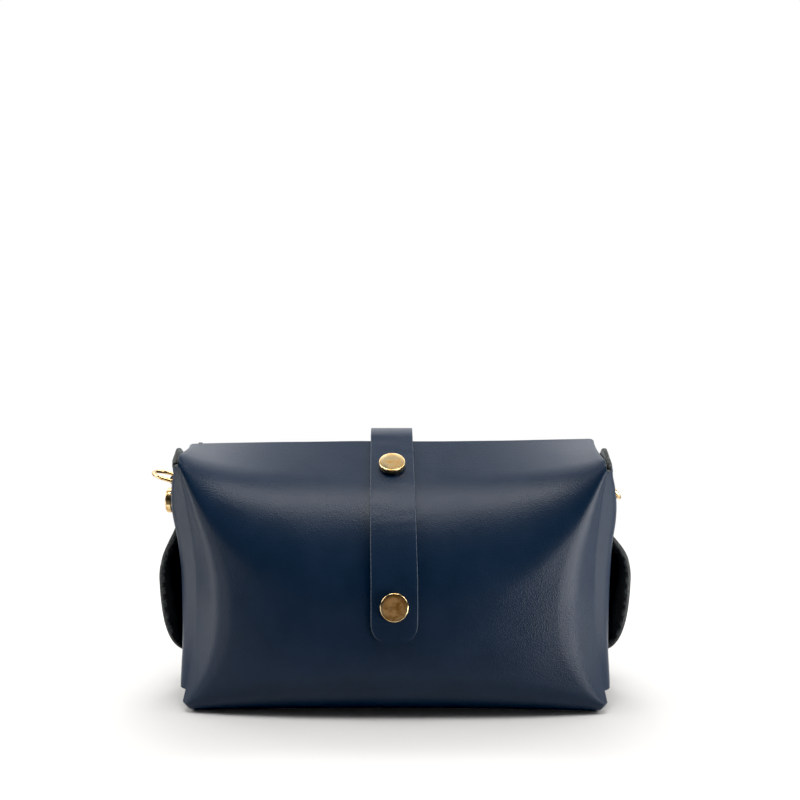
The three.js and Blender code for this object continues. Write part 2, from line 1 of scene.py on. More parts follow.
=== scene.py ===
"""A mini handbag folded from one piece of navy leather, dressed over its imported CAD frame.

Sizes in the bag's classes are millimetres in the part's frame: +X to the right as seen from the front, +Y
from the front to the back, +Z up, with the origin in the middle of the base. Meshes are written in metres.
"""

import json
import logging
import math
from collections.abc import Callable
from dataclasses import dataclass, field
from enum import Enum

import bmesh
import bpy
import numpy as np
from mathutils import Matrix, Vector

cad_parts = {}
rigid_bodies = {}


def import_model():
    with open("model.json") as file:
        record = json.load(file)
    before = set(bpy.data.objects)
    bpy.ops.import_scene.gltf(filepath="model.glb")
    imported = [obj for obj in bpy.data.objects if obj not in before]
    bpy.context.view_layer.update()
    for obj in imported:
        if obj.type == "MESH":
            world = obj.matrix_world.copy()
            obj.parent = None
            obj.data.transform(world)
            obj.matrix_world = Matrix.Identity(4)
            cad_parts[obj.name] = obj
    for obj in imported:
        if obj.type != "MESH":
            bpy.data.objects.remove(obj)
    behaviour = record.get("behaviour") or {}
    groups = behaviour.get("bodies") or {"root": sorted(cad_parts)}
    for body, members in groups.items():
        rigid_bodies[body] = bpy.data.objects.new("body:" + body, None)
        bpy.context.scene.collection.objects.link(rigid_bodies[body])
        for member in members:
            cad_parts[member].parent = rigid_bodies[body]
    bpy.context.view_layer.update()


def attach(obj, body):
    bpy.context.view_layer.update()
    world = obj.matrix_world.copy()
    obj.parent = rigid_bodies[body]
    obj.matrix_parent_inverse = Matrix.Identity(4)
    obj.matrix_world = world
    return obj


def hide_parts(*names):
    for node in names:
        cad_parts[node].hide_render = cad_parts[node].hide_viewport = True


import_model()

log = logging.getLogger("handbag")
MM = 0.001
Socket = bpy.types.NodeSocket
Sockets = bpy.types.bpy_prop_collection
Place = tuple[float, float, float]


class Half(Enum):
    """The two halves of the girth, by the sign of their depth."""

    FRONT = -1
    BACK = 1


class End(Enum):
    """The two ends of the bag, by the sign of their place across."""

    LEFT = -1
    RIGHT = 1


class Finish(Enum):
    """The three kinds of surface that a piece of leather shows."""

    GRAIN = 0
    EDGE = 1
    FLESH = 2


# Small sums


def unit(vector: np.ndarray) -> np.ndarray:
    """The vector, or each row of vectors, at length one."""
    return vector / np.maximum(np.linalg.norm(vector, axis=-1, keepdims=True), 1e-12)


def smoothstep(value: np.ndarray, low: float, high: float) -> np.ndarray:
    """A smooth rise from 0 at low to 1 at high."""
    share = np.clip((value - low) / (high - low), 0.0, 1.0)
    return share * share * (3 - 2 * share)


def lerp(start: np.ndarray, end: np.ndarray, share: np.ndarray) -> np.ndarray:
    """The value at a share of the way from start to end."""
    return start + (end - start) * share


def arc(centre: tuple[float, float], radius: float, start: float, stop: float, count: int) -> np.ndarray:
    """Points on an arc, evenly by angle in radians."""
    angles = np.linspace(start, stop, count)
    return np.array(centre) + radius * np.column_stack((np.cos(angles), np.sin(angles)))


def through(knots: tuple[tuple[float, float], ...], places: np.ndarray) -> np.ndarray:
    """A smooth curve through knots, with no curvature at its two ends.

    Args:
        knots: places and values, in rising order of place.
        places: where the curve is read.

    Returns:
        The curve's value at each place.
    """
    at = np.array([knot[0] for knot in knots], float)
    value = np.array([knot[1] for knot in knots], float)
    last = len(knots) - 1
    right = np.clip(np.searchsorted(at, places, side="right"), 1, last)
    left = right - 1
    before = np.where(left > 0, left - 1, right)
    after = np.where(right < last, right + 1, left)
    half = (at[right] - at[left]) / 2
    weight_before = half / (at[left] - at[before])
    weight_after = half / (at[after] - at[right])
    p = (places - at[left]) / (at[right] - at[left])
    p2, p3 = p * p, p * p * p
    leaving = (1 + weight_before) * p3 - (1.5 + 2 * weight_before) * p2 + (weight_before - 0.5) * p + 1
    arriving = -(1 + weight_after) * p3 + (1.5 + weight_after) * p2 + 0.5 * p
    return (
        value[before] * weight_before * (-p3 + 2 * p2 - p)
        + value[left] * leaving
        + value[right] * arriving
        + value[after] * weight_after * (p3 - p2)
    )


def ripple(points: np.ndarray, size: float, seed: int) -> np.ndarray:
    """A soft uneven field of about -1 to 1, with bumps of a size.

    Args:
        points: places in millimetres.
        size: distance from one bump to the next, in millimetres.
        seed: fixes the pattern.

    Returns:
        The field at each point.
    """
    draw = np.random.default_rng(seed)
    total = np.zeros(points.shape[:-1])
    waves = 7
    for _ in range(waves):
        way = unit(draw.normal(size=3))
        wave = 2 * math.pi / (size * draw.uniform(0.75, 1.6))
        total = total + np.sin(points @ (way * wave) + draw.uniform(0, 2 * math.pi))
    return total / math.sqrt(waves)


# Folds and lines


@dataclass(frozen=True)
class Fold:
    """The section of a fold in shares of its size: a crease, a flat stretch and the turn into the side."""

    crease: float = 0.42
    turn: float = math.radians(42)
    flat: float = 0.5
    side: float = 0.35

    def at(self, past: np.ndarray, size: np.ndarray, angle: float) -> tuple[np.ndarray, np.ndarray]:
        """How far on and how far in the hide lies round the fold.

        Args:
            past: length of hide past the start of the fold.
            size: size of the fold.
            angle: how far the hide turns in all, in radians.

        Returns:
            The distances on and in.
        """
        length = past / size
        rest = length - self.crease * self.turn
        first = np.clip(length / self.crease, 0, self.turn)
        level = np.clip(rest, 0, self.flat)
        second = self.turn + np.clip((rest - self.flat) / self.side, 0, angle - self.turn)
        beyond = np.maximum(0, rest - self.flat - self.side * (angle - self.turn))
        on = self.crease * np.sin(first) + level * math.cos(self.turn)
        on = on + self.side * (np.sin(second) - math.sin(self.turn)) + beyond * math.cos(angle)
        inward = self.crease * (1 - np.cos(first)) + level * math.sin(self.turn)
        inward = inward + self.side * (math.cos(self.turn) - np.cos(second)) + beyond * math.sin(angle)
        return size * on, size * inward

    def start(self, reach: np.ndarray, size: np.ndarray) -> np.ndarray:
        """The length of hide from the middle of the bag's width to the start of the fold."""
        return reach - self.at(4 * size, size, math.pi / 2)[0]

    def wrap(
        self, along: np.ndarray, reach: np.ndarray, size: np.ndarray, angle: float = math.pi / 2
    ) -> tuple[np.ndarray, np.ndarray]:
        """Wraps the hide round the fold.

        Args:
            along: length of hide from the middle of the bag's width.
            reach: half width of the bag, outside the fold.
            size: size of the fold.
            angle: how far the hide turns, in radians.

        Returns:
            The place across, and how far in from the panel.
        """
        start = self.start(reach, size)
        on, inward = self.at(np.maximum(0.0, along - start), size, angle)
        return np.minimum(along, start) + on, inward

    def along_to(self, inward: np.ndarray, reach: np.ndarray, size: np.ndarray) -> np.ndarray:
        """The length of hide that reaches a distance in from the panel, found by halving.

        Args:
            inward: the distance in.
            reach: half width of the bag, outside the fold.
            size: size of the fold.

        Returns:
            The length from the middle of the bag's width.
        """
        near, far = np.zeros_like(inward), inward + 2 * size
        for _ in range(40):
            middle = (near + far) / 2
            short = self.at(middle, size, math.pi / 2)[1] < inward
            near, far = np.where(short, middle, near), np.where(short, far, middle)
        return self.start(reach, size) + near


@dataclass(frozen=True)
class Corner:
    """A corner of a line: its place out and up, and the radius that it is rounded to."""

    out: float
    up: float
    bend: float = 0.0

    def mixed(self, other: "Corner", share: float) -> "Corner":
        """The corner at a share of the way to another."""
        out, up = lerp(self.out, other.out, share), lerp(self.up, other.up, share)
        return Corner(out, up, lerp(self.bend, other.bend, share))


class Line:
    """A flat line through corners, with each inner corner rounded to its bend."""

    def __init__(self, corners: list[Corner]) -> None:
        """Lays the line's straights and arcs end to end.

        Args:
            corners: the corners in order, of which the first and last aren't rounded.
        """
        self.starts: list[np.ndarray] = []
        self.ways: list[np.ndarray] = []
        self.curves: list[float] = []
        self.spans: list[float] = []
        places = [np.array((corner.out, corner.up), float) for corner in corners]
        at = places[0]
        for before, here, after, corner in zip(places, places[1:], places[2:], corners[1:]):
            way, onward = unit(here - before), unit(after - here)
            turn = math.atan2(way[0] * onward[1] - way[1] * onward[0], float(way @ onward))
            trim = corner.bend * math.tan(abs(turn) / 2)
            self._add(at, way, 0.0, float(np.linalg.norm(here - way * trim - at)))
            if corner.bend > 0:
                curve = math.copysign(1 / corner.bend, turn)
                self._add(here - way * trim, way, curve, corner.bend * abs(turn))
            at = here + onward * trim
        self._add(at, unit(places[-1] - places[-2]), 0.0, float(np.linalg.norm(places[-1] - at)))
        self.ends = np.cumsum(self.spans)
        self.total = float(self.ends[-1])

    def _add(self, start: np.ndarray, way: np.ndarray, curve: float, span: float) -> None:
        """Adds one straight, or one arc of a curvature.

        Args:
            start: where it starts.
            way: the way that it sets out.
            curve: its curvature, or 0 for a straight.
            span: its length.
        """
        self.starts.append(start)
        self.ways.append(way)
        self.curves.append(curve)
        self.spans.append(span)

    def at(self, lengths: np.ndarray) -> tuple[np.ndarray, np.ndarray]:
        """Points on the line and its left-hand side there.

        Args:
            lengths: lengths along the line.

        Returns:
            The points and the unit sides, one row for each length.
        """
        lengths = np.clip(np.atleast_1d(lengths), 0.0, self.total)
        which = np.clip(np.searchsorted(self.ends, lengths), 0, len(self.spans) - 1)
        run = (lengths - (self.ends - np.array(self.spans))[which])[:, None]
        start, way = np.array(self.starts)[which], np.array(self.ways)[which]
        curve = np.array(self.curves)[which][:, None]
        side = np.stack((-way[:, 1], way[:, 0]), 1)
        straight = curve == 0
        safe = np.where(straight, 1.0, curve)
        ahead = np.where(straight, run, np.sin(safe * run) / safe)
        aside = np.where(straight, 0.0, (1 - np.cos(safe * run)) / safe)
        turn = curve * run
        return start + way * ahead + side * aside, side * np.cos(turn) - way * np.sin(turn)

    def stations(self, step: float, arc_steps: int) -> np.ndarray:
        """Lengths along the line, with each arc in arc_steps and each straight in steps of at most step.

        Args:
            step: longest step on a straight.
            arc_steps: how many steps an arc takes.

        Returns:
            The lengths, from 0 to the whole.
        """
        marks = [0.0]
        for span, end, curve in zip(self.spans, self.ends, self.curves):
            count = arc_steps if curve else max(1, math.ceil(span / step))
            if span > 1e-9:
                marks.extend(np.linspace(end - span, end, count + 1)[1:])
        return np.array(marks)


# Node trees and meshes


def add(
    tree: bpy.types.NodeTree, kind: str, links: dict | tuple = (), **settings: object
) -> bpy.types.Node:
    """Adds a node with its settings and links.

    Args:
        tree: the node tree.
        kind: the node's type.
        links: a socket to link or a value to set for each input, by name or index, or in order.
        settings: the node's own properties.

    Returns:
        The node.
    """
    node = tree.nodes.new(kind)
    for name, value in settings.items():
        setattr(node, name, value)
    for name, value in links.items() if isinstance(links, dict) else enumerate(links):
        if isinstance(value, Socket):
            tree.links.new(value, node.inputs[name])
        else:
            node.inputs[name].default_value = value
    return node


def linear(colour: str) -> tuple[float, float, float, float]:
    """The linear colour of an sRGB hex value.

    Args:
        colour: the hex value.

    Returns:
        Red, green, blue and 1.
    """
    parts = [int(colour[i : i + 2], 16) / 255 for i in (1, 3, 5)]
    light = [p / 12.92 if p <= 0.04045 else ((p + 0.055) / 1.055) ** 2.4 for p in parts]
    return light[0], light[1], light[2], 1.0


def link_object(name: str, data: bpy.types.ID) -> bpy.types.Object:
    """An object at the origin that shows a mesh, a lamp or a camera.

    Args:
        name: its name.
        data: what it shows.

    Returns:
        The object, linked to the scene.
    """
    thing = bpy.data.objects.new(name, data)
    bpy.context.scene.collection.objects.link(thing)
    return thing


def settle(thing: bpy.types.Object) -> None:
    """Turns an object's modifiers into plain mesh and removes them.

    Args:
        thing: the object.
    """
    graph = bpy.context.evaluated_depsgraph_get()
    old = thing.data
    shown = thing.evaluated_get(graph)
    mesh = bpy.data.meshes.new_from_object(shown, preserve_all_data_layers=True, depsgraph=graph)
    thing.modifiers.clear()
    thing.data = mesh
    mesh.name = thing.name
    bpy.data.meshes.remove(old)


def face_outwards(mesh: bpy.types.Mesh) -> None:
    """Turns a closed mesh's faces outwards.

    Args:
        mesh: the mesh.
    """
    shape = bmesh.new()
    shape.from_mesh(mesh)
    bmesh.ops.recalc_face_normals(shape, faces=shape.faces)
    shape.to_mesh(mesh)
    shape.free()


def shade(mesh: bpy.types.Mesh, sharp: float) -> None:
    """Shades a mesh smooth, with edges over an angle in degrees left sharp."""
    mesh.shade_smooth()
    mesh.set_sharp_from_angle(angle=math.radians(sharp))


def dress(thing: bpy.types.Object, body: str, slot: str, *nodes: str) -> bpy.types.Object:
    """Puts a finished piece on its body in place of CAD nodes.

    Args:
        thing: the piece.
        body: the CAD body that it moves with.
        slot: the record's material slot; not used.
        nodes: the CAD nodes that it stands for.

    Returns:
        The piece.
    """
    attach(thing, body)
    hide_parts(*nodes)
    log.info("%s: %d faces, on %s, for %s", thing.name, len(thing.data.polygons), body, ", ".join(nodes))
    return thing


# Finishes


NOISE = "ShaderNodeTexNoise"
RANGE = "ShaderNodeMapRange"
MIX = "ShaderNodeMix"
BUMP = "ShaderNodeBump"


def per_metre(size: float) -> float:
    """The scale of a texture whose pattern repeats at a size in millimetres."""
    return 1 / (size * MM)


def start_material(
    name: str, constants: dict[str, float | tuple[float, ...]]
) -> tuple[bpy.types.Material, bpy.types.NodeTree]:
    """Starts a material.

    Args:
        name: its name.
        constants: the shader's plain inputs.

    Returns:
        The material and its node tree.
    """
    made = bpy.data.materials.new(name)
    made.use_nodes = True
    for socket, value in constants.items():
        made.node_tree.nodes["Principled BSDF"].inputs[socket].default_value = value
    return made, made.node_tree


def end_material(made: bpy.types.Material, links: dict[str, Socket]) -> bpy.types.Material:
    """Links the inputs of a material's shader.

    Args:
        made: the material.
        links: a socket for each of the shader's inputs by name.

    Returns:
        The finished material.
    """
    for name, socket in links.items():
        made.node_tree.links.new(socket, made.node_tree.nodes["Principled BSDF"].inputs[name])
    return made


@dataclass(frozen=True)
class PlatedLeather:
    """Smooth coated leather, plated under heat: a satin navy face with fine pores that sparkle."""

    name: str = "smooth coated leather, plated"
    colour: str = "#152232"
    worn: str = "#1c293c"
    cloud: float = 14.0
    cloud_span: tuple[float, float] = (0.3, 0.7)
    ior: float = 1.46
    gloss: float = 0.21
    roughness: float = 0.315
    uneven: float = 0.025
    pore: float = 0.6  # the real pores are about 0.3 mm, drawn coarser so that they show
    pore_depth: float = 0.065
    pore_strength: float = 0.9
    crease: float = 5.0
    crease_depth: float = 0.13
    crease_strength: float = 0.1

    def material(self) -> bpy.types.Material:
        """Makes the material: cloudy colour and gloss, soft creases, and pores over them.

        Returns:
            The material.
        """
        made, tree = start_material(self.name, {"IOR": self.ior, "Specular IOR Level": self.gloss})
        place = add(tree, "ShaderNodeTexCoord").outputs["Object"]
        cloud_look = {"Vector": place, "Scale": per_metre(self.cloud), "Detail": 3.0}
        cloud = add(tree, NOISE, cloud_look).outputs["Fac"]
        tint = add(tree, MIX, {0: cloud, 6: linear(self.colour), 7: linear(self.worn)}, data_type="RGBA")
        satin = (self.roughness - self.uneven, self.roughness + self.uneven)
        gloss = add(tree, RANGE, (cloud, *self.cloud_span, *satin))
        pores = add(tree, "ShaderNodeTexVoronoi", {"Vector": place, "Scale": per_metre(self.pore)})
        crease_look = {"Vector": place, "Scale": per_metre(self.crease), "Detail": 6.0, "Roughness": 0.62}
        creases = add(tree, NOISE, crease_look).outputs["Fac"]
        low = {"Strength": self.crease_strength, "Distance": self.crease_depth * MM, "Height": creases}
        high = {
            "Strength": self.pore_strength,
            "Distance": self.pore_depth * MM,
            "Height": pores.outputs["Distance"],
            "Normal": add(tree, BUMP, low).outputs["Normal"],
        }
        normal = add(tree, BUMP, high).outputs["Normal"]
        return end_material(
            made, {"Base Color": tint.outputs[2], "Roughness": gloss.outputs["Result"], "Normal": normal}
        )


@dataclass(frozen=True)
class FleshSide:
    """The dyed flesh side of the hide: black matt nap, fibrous close to a cut edge and painted paler there
    as a highlight along the arris.
    """

    name: str = "dyed split leather, napped"
    colour: str = "#2a2b2b"
    nap: str = "#444545"
    # the pale of a painted highlight along the cut edge, broken up by torn fibres
    rubbed_with_painted_highlight: str = "#9aa0a2"
    fibre: float = 0.7
    depth: float = 0.2
    strength: float = 0.9
    roughness: float = 0.95
    gloss: float = 0.2
    sheen: float = 0.08
    torn: tuple[float, ...] = (0.3, 0.62, 0.0, 0.8)

    def material(self) -> bpy.types.Material:
        """Makes the material: mottled fibres, painted pale near a cut edge, where edge_wear is high, as a
        highlight along the arris.

        Returns:
            The material.
        """
        made, tree = start_material(
            self.name,
            {"Roughness": self.roughness, "Specular IOR Level": self.gloss, "Sheen Weight": self.sheen},
        )
        place = add(tree, "ShaderNodeTexCoord").outputs["Object"]
        look = {"Vector": place, "Scale": per_metre(self.fibre), "Detail": 5.0, "Roughness": 0.7}
        fibres = add(tree, NOISE, look).outputs["Fac"]
        body = add(tree, MIX, {0: fibres, 6: linear(self.colour), 7: linear(self.nap)}, data_type="RGBA")
        close = add(tree, "ShaderNodeAttribute", attribute_name="edge_wear").outputs["Fac"]
        torn = add(tree, "ShaderNodeMath", (close, fibres), operation="MULTIPLY").outputs[0]
        # painted highlight: the flesh pales towards a cut edge where the arris would catch the light, mixed
        # with torn fibres
        pale = add(tree, RANGE, (torn, *self.torn)).outputs["Result"]
        tint = add(tree, MIX, {0: pale, 6: body.outputs[2], 7: linear(self.rubbed_with_painted_highlight)}, data_type="RGBA")
        bump = add(tree, BUMP, {"Strength": self.strength, "Distance": self.depth * MM, "Height": fibres})
        return end_material(made, {"Base Color": tint.outputs[2], "Normal": bump.outputs["Normal"]})


@dataclass(frozen=True)
class CutEdge:
    """A raw cut edge, dyed but not painted: matt, with pale broken fibres."""

    name: str = "cut leather edge, dyed"
    colour: str = "#0f1113"
    fibre_colour: str = "#6a706f"
    fibre: float = 0.9
    depth: float = 0.12
    strength: float = 0.7
    roughness: float = 0.7
    shown: tuple[float, ...] = (0.45, 0.75, 0.0, 0.7)

    def material(self) -> bpy.types.Material:
        """Makes the material: dark dye with the palest fibres showing through.

        Returns:
            The material.
        """
        made, tree = start_material(self.name, {"Roughness": self.roughness})
        place = add(tree, "ShaderNodeTexCoord").outputs["Object"]
        look = {"Vector": place, "Scale": per_metre(self.fibre), "Detail": 4.0, "Roughness": 0.75}
        fibres = add(tree, NOISE, look).outputs["Fac"]
        pale = add(tree, RANGE, (fibres, *self.shown)).outputs["Result"]
        colours = {6: linear(self.colour), 7: linear(self.fibre_colour)}
        tint = add(tree, MIX, {0: pale} | colours, data_type="RGBA")
        bump = add(tree, BUMP, {"Strength": self.strength, "Distance": self.depth * MM, "Height": fibres})
        return end_material(made, {"Base Color": tint.outputs[2], "Normal": bump.outputs["Normal"]})


# The strap's cut edge is dyed paler, with paler fibres, as a painted highlight where the edge catches the
# light
STRAP_EDGE_PAINTED_PALER = CutEdge("cut leather edge, dyed and rubbed", "#2a3543", "#7a8590", 0.7)


@dataclass(frozen=True)
class GoldPlate:
    """Polished brass, thinly gold plated: a near mirror with faint handling marks and fine scratches."""

    name: str = "brass, gold plated and polished"
    colour: str = "#e9cf9f"
    dull: str = "#b5843c"
    mark: float = 3.2
    mark_span: tuple[float, float] = (0.3, 0.7)
    blotch: tuple[float, ...] = (0.42, 0.7, 0.0, 0.85)
    scratch: float = 6.0
    scratch_thin: float = 9.0
    scratch_depth: float = 0.05
    scratch_strength: float = 0.05
    roughness: float = 0.16
    smoother: float = 0.04
    rougher: float = 0.1

    def material(self) -> bpy.types.Material:
        """Makes the material: marks that dull the gold, and scratches along X.

        Returns:
            The material.
        """
        made, tree = start_material(self.name, {"Metallic": 1.0})
        place = add(tree, "ShaderNodeTexCoord").outputs["Object"]
        mark_look = {"Vector": place, "Scale": per_metre(self.mark), "Detail": 4.0}
        marks = add(tree, NOISE, mark_look).outputs["Fac"]
        blotch = add(tree, RANGE, (marks, *self.blotch)).outputs["Result"]
        tint = add(tree, MIX, {0: blotch, 6: linear(self.colour), 7: linear(self.dull)}, data_type="RGBA")
        polish = (self.roughness - self.smoother, self.roughness + self.rougher)
        rough = add(tree, RANGE, (marks, *self.mark_span, *polish))
        thin = (1.0, self.scratch_thin, self.scratch_thin)
        squeeze = add(tree, "ShaderNodeMapping", {"Vector": place, "Scale": thin}).outputs[0]
        look = {"Vector": squeeze, "Scale": per_metre(self.scratch), "Detail": 3.0}
        scratches = add(tree, NOISE, look).outputs["Fac"]
        depth = {"Strength": self.scratch_strength, "Distance": self.scratch_depth * MM}
        normal = add(tree, BUMP, depth | {"Height": scratches}).outputs["Normal"]
        return end_material(
            made, {"Base Color": tint.outputs[2], "Roughness": rough.outputs["Result"], "Normal": normal}
        )


@dataclass(frozen=True)
class MattPaper:
    """Uncoated paper, rolled: a dull pale sheet that shows only soft shadows."""

    name: str = "pale paper, matt"
    colour: str = "#c9c8c6"
    roughness: float = 0.9
    gloss: float = 0.2

    def material(self) -> bpy.types.Material:
        """Makes the material."""
        plain = {"Roughness": self.roughness, "Specular IOR Level": self.gloss}
        return start_material(self.name, plain | {"Base Color": linear(self.colour)})[0]


@dataclass
class Palette:
    """The materials of the bag."""

    grain: bpy.types.Material = field(default_factory=PlatedLeather().material)
    edge: bpy.types.Material = field(default_factory=CutEdge().material)
    # trim is the strap's cut edge, painted paler as a highlight
    trim: bpy.types.Material = field(default_factory=STRAP_EDGE_PAINTED_PALER.material)
    flesh: bpy.types.Material = field(default_factory=FleshSide().material)
    gold: bpy.types.Material = field(default_factory=GoldPlate().material)

    def leather(self) -> list[bpy.types.Material]:
        """The leather's materials in the order of Finish."""
        return [self.grain, self.edge, self.flesh]

    def strap(self) -> list[bpy.types.Material]:
        """The strap's materials in the same order."""
        return [self.grain, self.trim, self.flesh]


# Sweeping


@dataclass
class Rows:
    """The rows of a sweep: each one's place, way across, way outwards and share of the width."""

    places: np.ndarray
    across: np.ndarray
    outward: np.ndarray
    spread: np.ndarray
    closed: bool = False

    def capped(self) -> "Rows":
        """The rows with a row of no width at either end, so that the ends are closed.

        Returns:
            The rows.
        """
        ends = [0, *range(len(self.places)), len(self.places) - 1]
        spread = self.spread[ends].copy()
        spread[[0, -1]] = 0.0
        return Rows(self.places[ends], self.across[ends], self.outward[ends], spread, self.closed)


@dataclass
class Section:
    """A section to sweep: places across and outwards, and the finish of the face that starts at each."""

    places: np.ndarray
    finishes: np.ndarray
    closed: bool = True


class Sweep:
    """Geometry Nodes that lay a section on each of a piece's rows and join them into one surface.

    SUMS lists the whole numbers that are worked out for each point of the surface, and READS the values that
    are then read from the piece's rows and section.
    """

    COUNTS = ("Rows", "Section Points", "Close Rows", "Close Section")
    FINISHES = ("Face", "Cut Edge", "Reverse")
    SUMS = (
        ("wide", "ADD", "Section Points", "Close Section"),
        ("long", "ADD", "Rows", "Close Rows"),
        ("turn", "DIVIDE_FLOOR", "index", "wide"),
        ("row", "MODULO", "turn", "Rows"),
        ("column", "MODULO", "index", "wide"),
        ("point", "MODULO", "column", "Section Points"),
        ("mark", "ADD", "Rows", "point"),
        ("faces", "SUBTRACT", "wide", "one"),
        ("strip", "MODULO", "index", "faces"),
        ("strip mark", "ADD", "Rows", "strip"),
    )
    READS = (
        ("corner", "FLOAT_VECTOR", "position", "mark"),
        ("here", "FLOAT_VECTOR", "position", "row"),
        ("across", "FLOAT_VECTOR", "across", "row"),
        ("outward", "FLOAT_VECTOR", "outward", "row"),
        ("spread", "FLOAT", "spread", "row"),
        ("kind", "INT", "finish", "strip mark"),
    )
    WELD = 1e-6

    def __init__(self) -> None:
        """Builds the tree."""
        self.tree = bpy.data.node_groups.new("sweep a section along rows", "GeometryNodeTree")
        face = self.tree.interface
        face.new_socket("Geometry", in_out="INPUT", socket_type="NodeSocketGeometry")
        kinds = dict.fromkeys(self.COUNTS, "NodeSocketInt")
        kinds.update(dict.fromkeys(self.FINISHES, "NodeSocketMaterial"))
        self.ids: dict[str, str] = {}
        for name, kind in kinds.items():
            self.ids[name] = face.new_socket(name, in_out="INPUT", socket_type=kind).identifier
        face.new_socket("Geometry", in_out="OUTPUT", socket_type="NodeSocketGeometry")
        given = add(self.tree, "NodeGroupInput").outputs
        surface = self._surface(given)
        mark = add(self.tree, "GeometryNodeInputNamedAttribute", {"Name": "finish"}, data_type="INT")
        for finish, name in zip(Finish, self.FINISHES):
            same = add(
                self.tree,
                "FunctionNodeCompare",
                {2: mark.outputs["Attribute"], 3: finish.value},
                data_type="INT",
                operation="EQUAL",
            )
            surface = add(
                self.tree,
                "GeometryNodeSetMaterial",
                {"Geometry": surface, "Selection": same.outputs["Result"], "Material": given[name]},
            ).outputs["Geometry"]
        add(self.tree, "NodeGroupOutput", {"Geometry": surface})

    def _surface(self, given: Sockets) -> Socket:
        """The swept surface, with the finish of each face kept as an attribute.

        Args:
            given: the tree's inputs.

        Returns:
            The surface's geometry.
        """
        tree = self.tree
        value = {"one": 1, "index": add(tree, "GeometryNodeInputIndex").outputs[0]}
        value.update({name: given[name] for name in self.COUNTS})
        for name, operation, first, second in self.SUMS:
            links = (value[first], value[second])
            value[name] = add(tree, "FunctionNodeIntegerMath", links, operation=operation).outputs[0]
        for name, kind, attribute, index in self.READS:
            named = add(tree, "GeometryNodeInputNamedAttribute", {"Name": attribute}, data_type=kind)
            links = {
                "Geometry": given["Geometry"],
                "Value": named.outputs["Attribute"],
                "Index": value[index],
            }
            sample = add(tree, "GeometryNodeSampleIndex", links, data_type=kind, domain="POINT")
            value[name] = sample.outputs["Value"]
        spot = add(tree, "ShaderNodeSeparateXYZ", (value["corner"],)).outputs
        aside = add(tree, "ShaderNodeMath", (spot[0], value["spread"]), operation="MULTIPLY").outputs[0]
        here = value["here"]
        for name, size in (("across", aside), ("outward", spot[1])):
            links = {0: value[name], "Scale": size}
            push = add(tree, "ShaderNodeVectorMath", links, operation="SCALE").outputs[0]
            here = add(tree, "ShaderNodeVectorMath", (here, push), operation="ADD").outputs[0]
        grid = add(tree, "GeometryNodeMeshGrid", {"Vertices X": value["long"], "Vertices Y": value["wide"]})
        moved = add(tree, "GeometryNodeSetPosition", {"Geometry": grid.outputs["Mesh"], "Position": here})
        kept = add(
            tree,
            "GeometryNodeStoreNamedAttribute",
            {"Geometry": moved.outputs[0], "Name": "finish", "Value": value["kind"]},
            data_type="INT",
            domain="FACE",
        )
        links = {"Geometry": kept.outputs[0], "Distance": self.WELD}
        weld = add(tree, "GeometryNodeMergeByDistance", links)
        return add(tree, "GeometryNodeRealizeInstances", {"Geometry": weld.outputs[0]}).outputs[0]

    def make(
        self, name: str, rows: Rows, section: Section, materials: list[bpy.types.Material], sharp: float
    ) -> bpy.types.Object:
        """Sweeps a section along rows.

        Args:
            name: the piece's name.
            rows: the rows, in millimetres.
            section: the section, in millimetres.
            materials: one material, or the leather's three in the order of Finish.
            sharp: the angle in degrees over which an edge stays sharp.

        Returns:
            The piece as a plain mesh object.
        """
        flat = np.column_stack((section.places, np.zeros(len(section.places))))
        count = len(rows.places)
        mesh = bpy.data.meshes.new(name)
        mesh.from_pydata((np.vstack((rows.places, flat)) * MM).tolist(), [], [])
        for key, values in (("across", rows.across), ("outward", rows.outward)):
            data = np.vstack((values, np.zeros_like(flat))).astype(np.float32)
            mesh.attributes.new(key, "FLOAT_VECTOR", "POINT").data.foreach_set("vector", data.ravel())
        spread = np.concatenate((rows.spread, np.zeros(len(flat)))).astype(np.float32)
        mesh.attributes.new("spread", "FLOAT", "POINT").data.foreach_set("value", spread)
        finish = np.concatenate((np.zeros(count), section.finishes)).astype(np.int32)
        mesh.attributes.new("finish", "INT", "POINT").data.foreach_set("value", finish)
        thing = link_object(name, mesh)
        modifier = thing.modifiers.new("sweep", "NODES")
        modifier.node_group = self.tree
        counts = (count, len(flat), int(rows.closed), int(section.closed))
        for key, value in zip(self.COUNTS + self.FINISHES, [*counts, *(materials * 3)[:3]]):
            modifier[self.ids[key]] = value
        settle(thing)
        face_outwards(thing.data)
        shade(thing.data, sharp)
        return thing


def strip_section(half: float, thick: float, round_off: float, pieces: int) -> Section:
    """The section of a leather strip, with its face at 0 and its reverse below.

    Args:
        half: half the strip's width.
        thick: its thickness.
        round_off: radius of its four long edges.
        pieces: how many pieces each flat side is cut in.

    Returns:
        The section, as a closed loop.
    """
    line = Line(
        [
            Corner(0, 0),
            Corner(half, 0, round_off),
            Corner(half, -thick, round_off),
            Corner(-half, -thick, round_off),
            Corner(-half, 0, round_off),
            Corner(0, 0),
        ]
    )
    marks = line.stations(2 * half / pieces, 4)[:-1]
    places, _ = line.at(marks)
    just_past, _ = line.at(marks + 1e-3)
    finishes = np.full(len(marks), Finish.EDGE.value)
    # The edge finish runs over most of each rounded long edge; on the strap that finish is painted paler as
    # a highlight.
    inner = np.abs(just_past[:, 0]) < half - 0.8 * round_off
    finishes[inner & (just_past[:, 1] > -thick / 2)] = Finish.GRAIN.value
    finishes[inner & (just_past[:, 1] < -thick / 2)] = Finish.FLESH.value
    return Section(places, finishes)


# Leather sheets and their stud holes

LEATHER_SHARP = 40.0


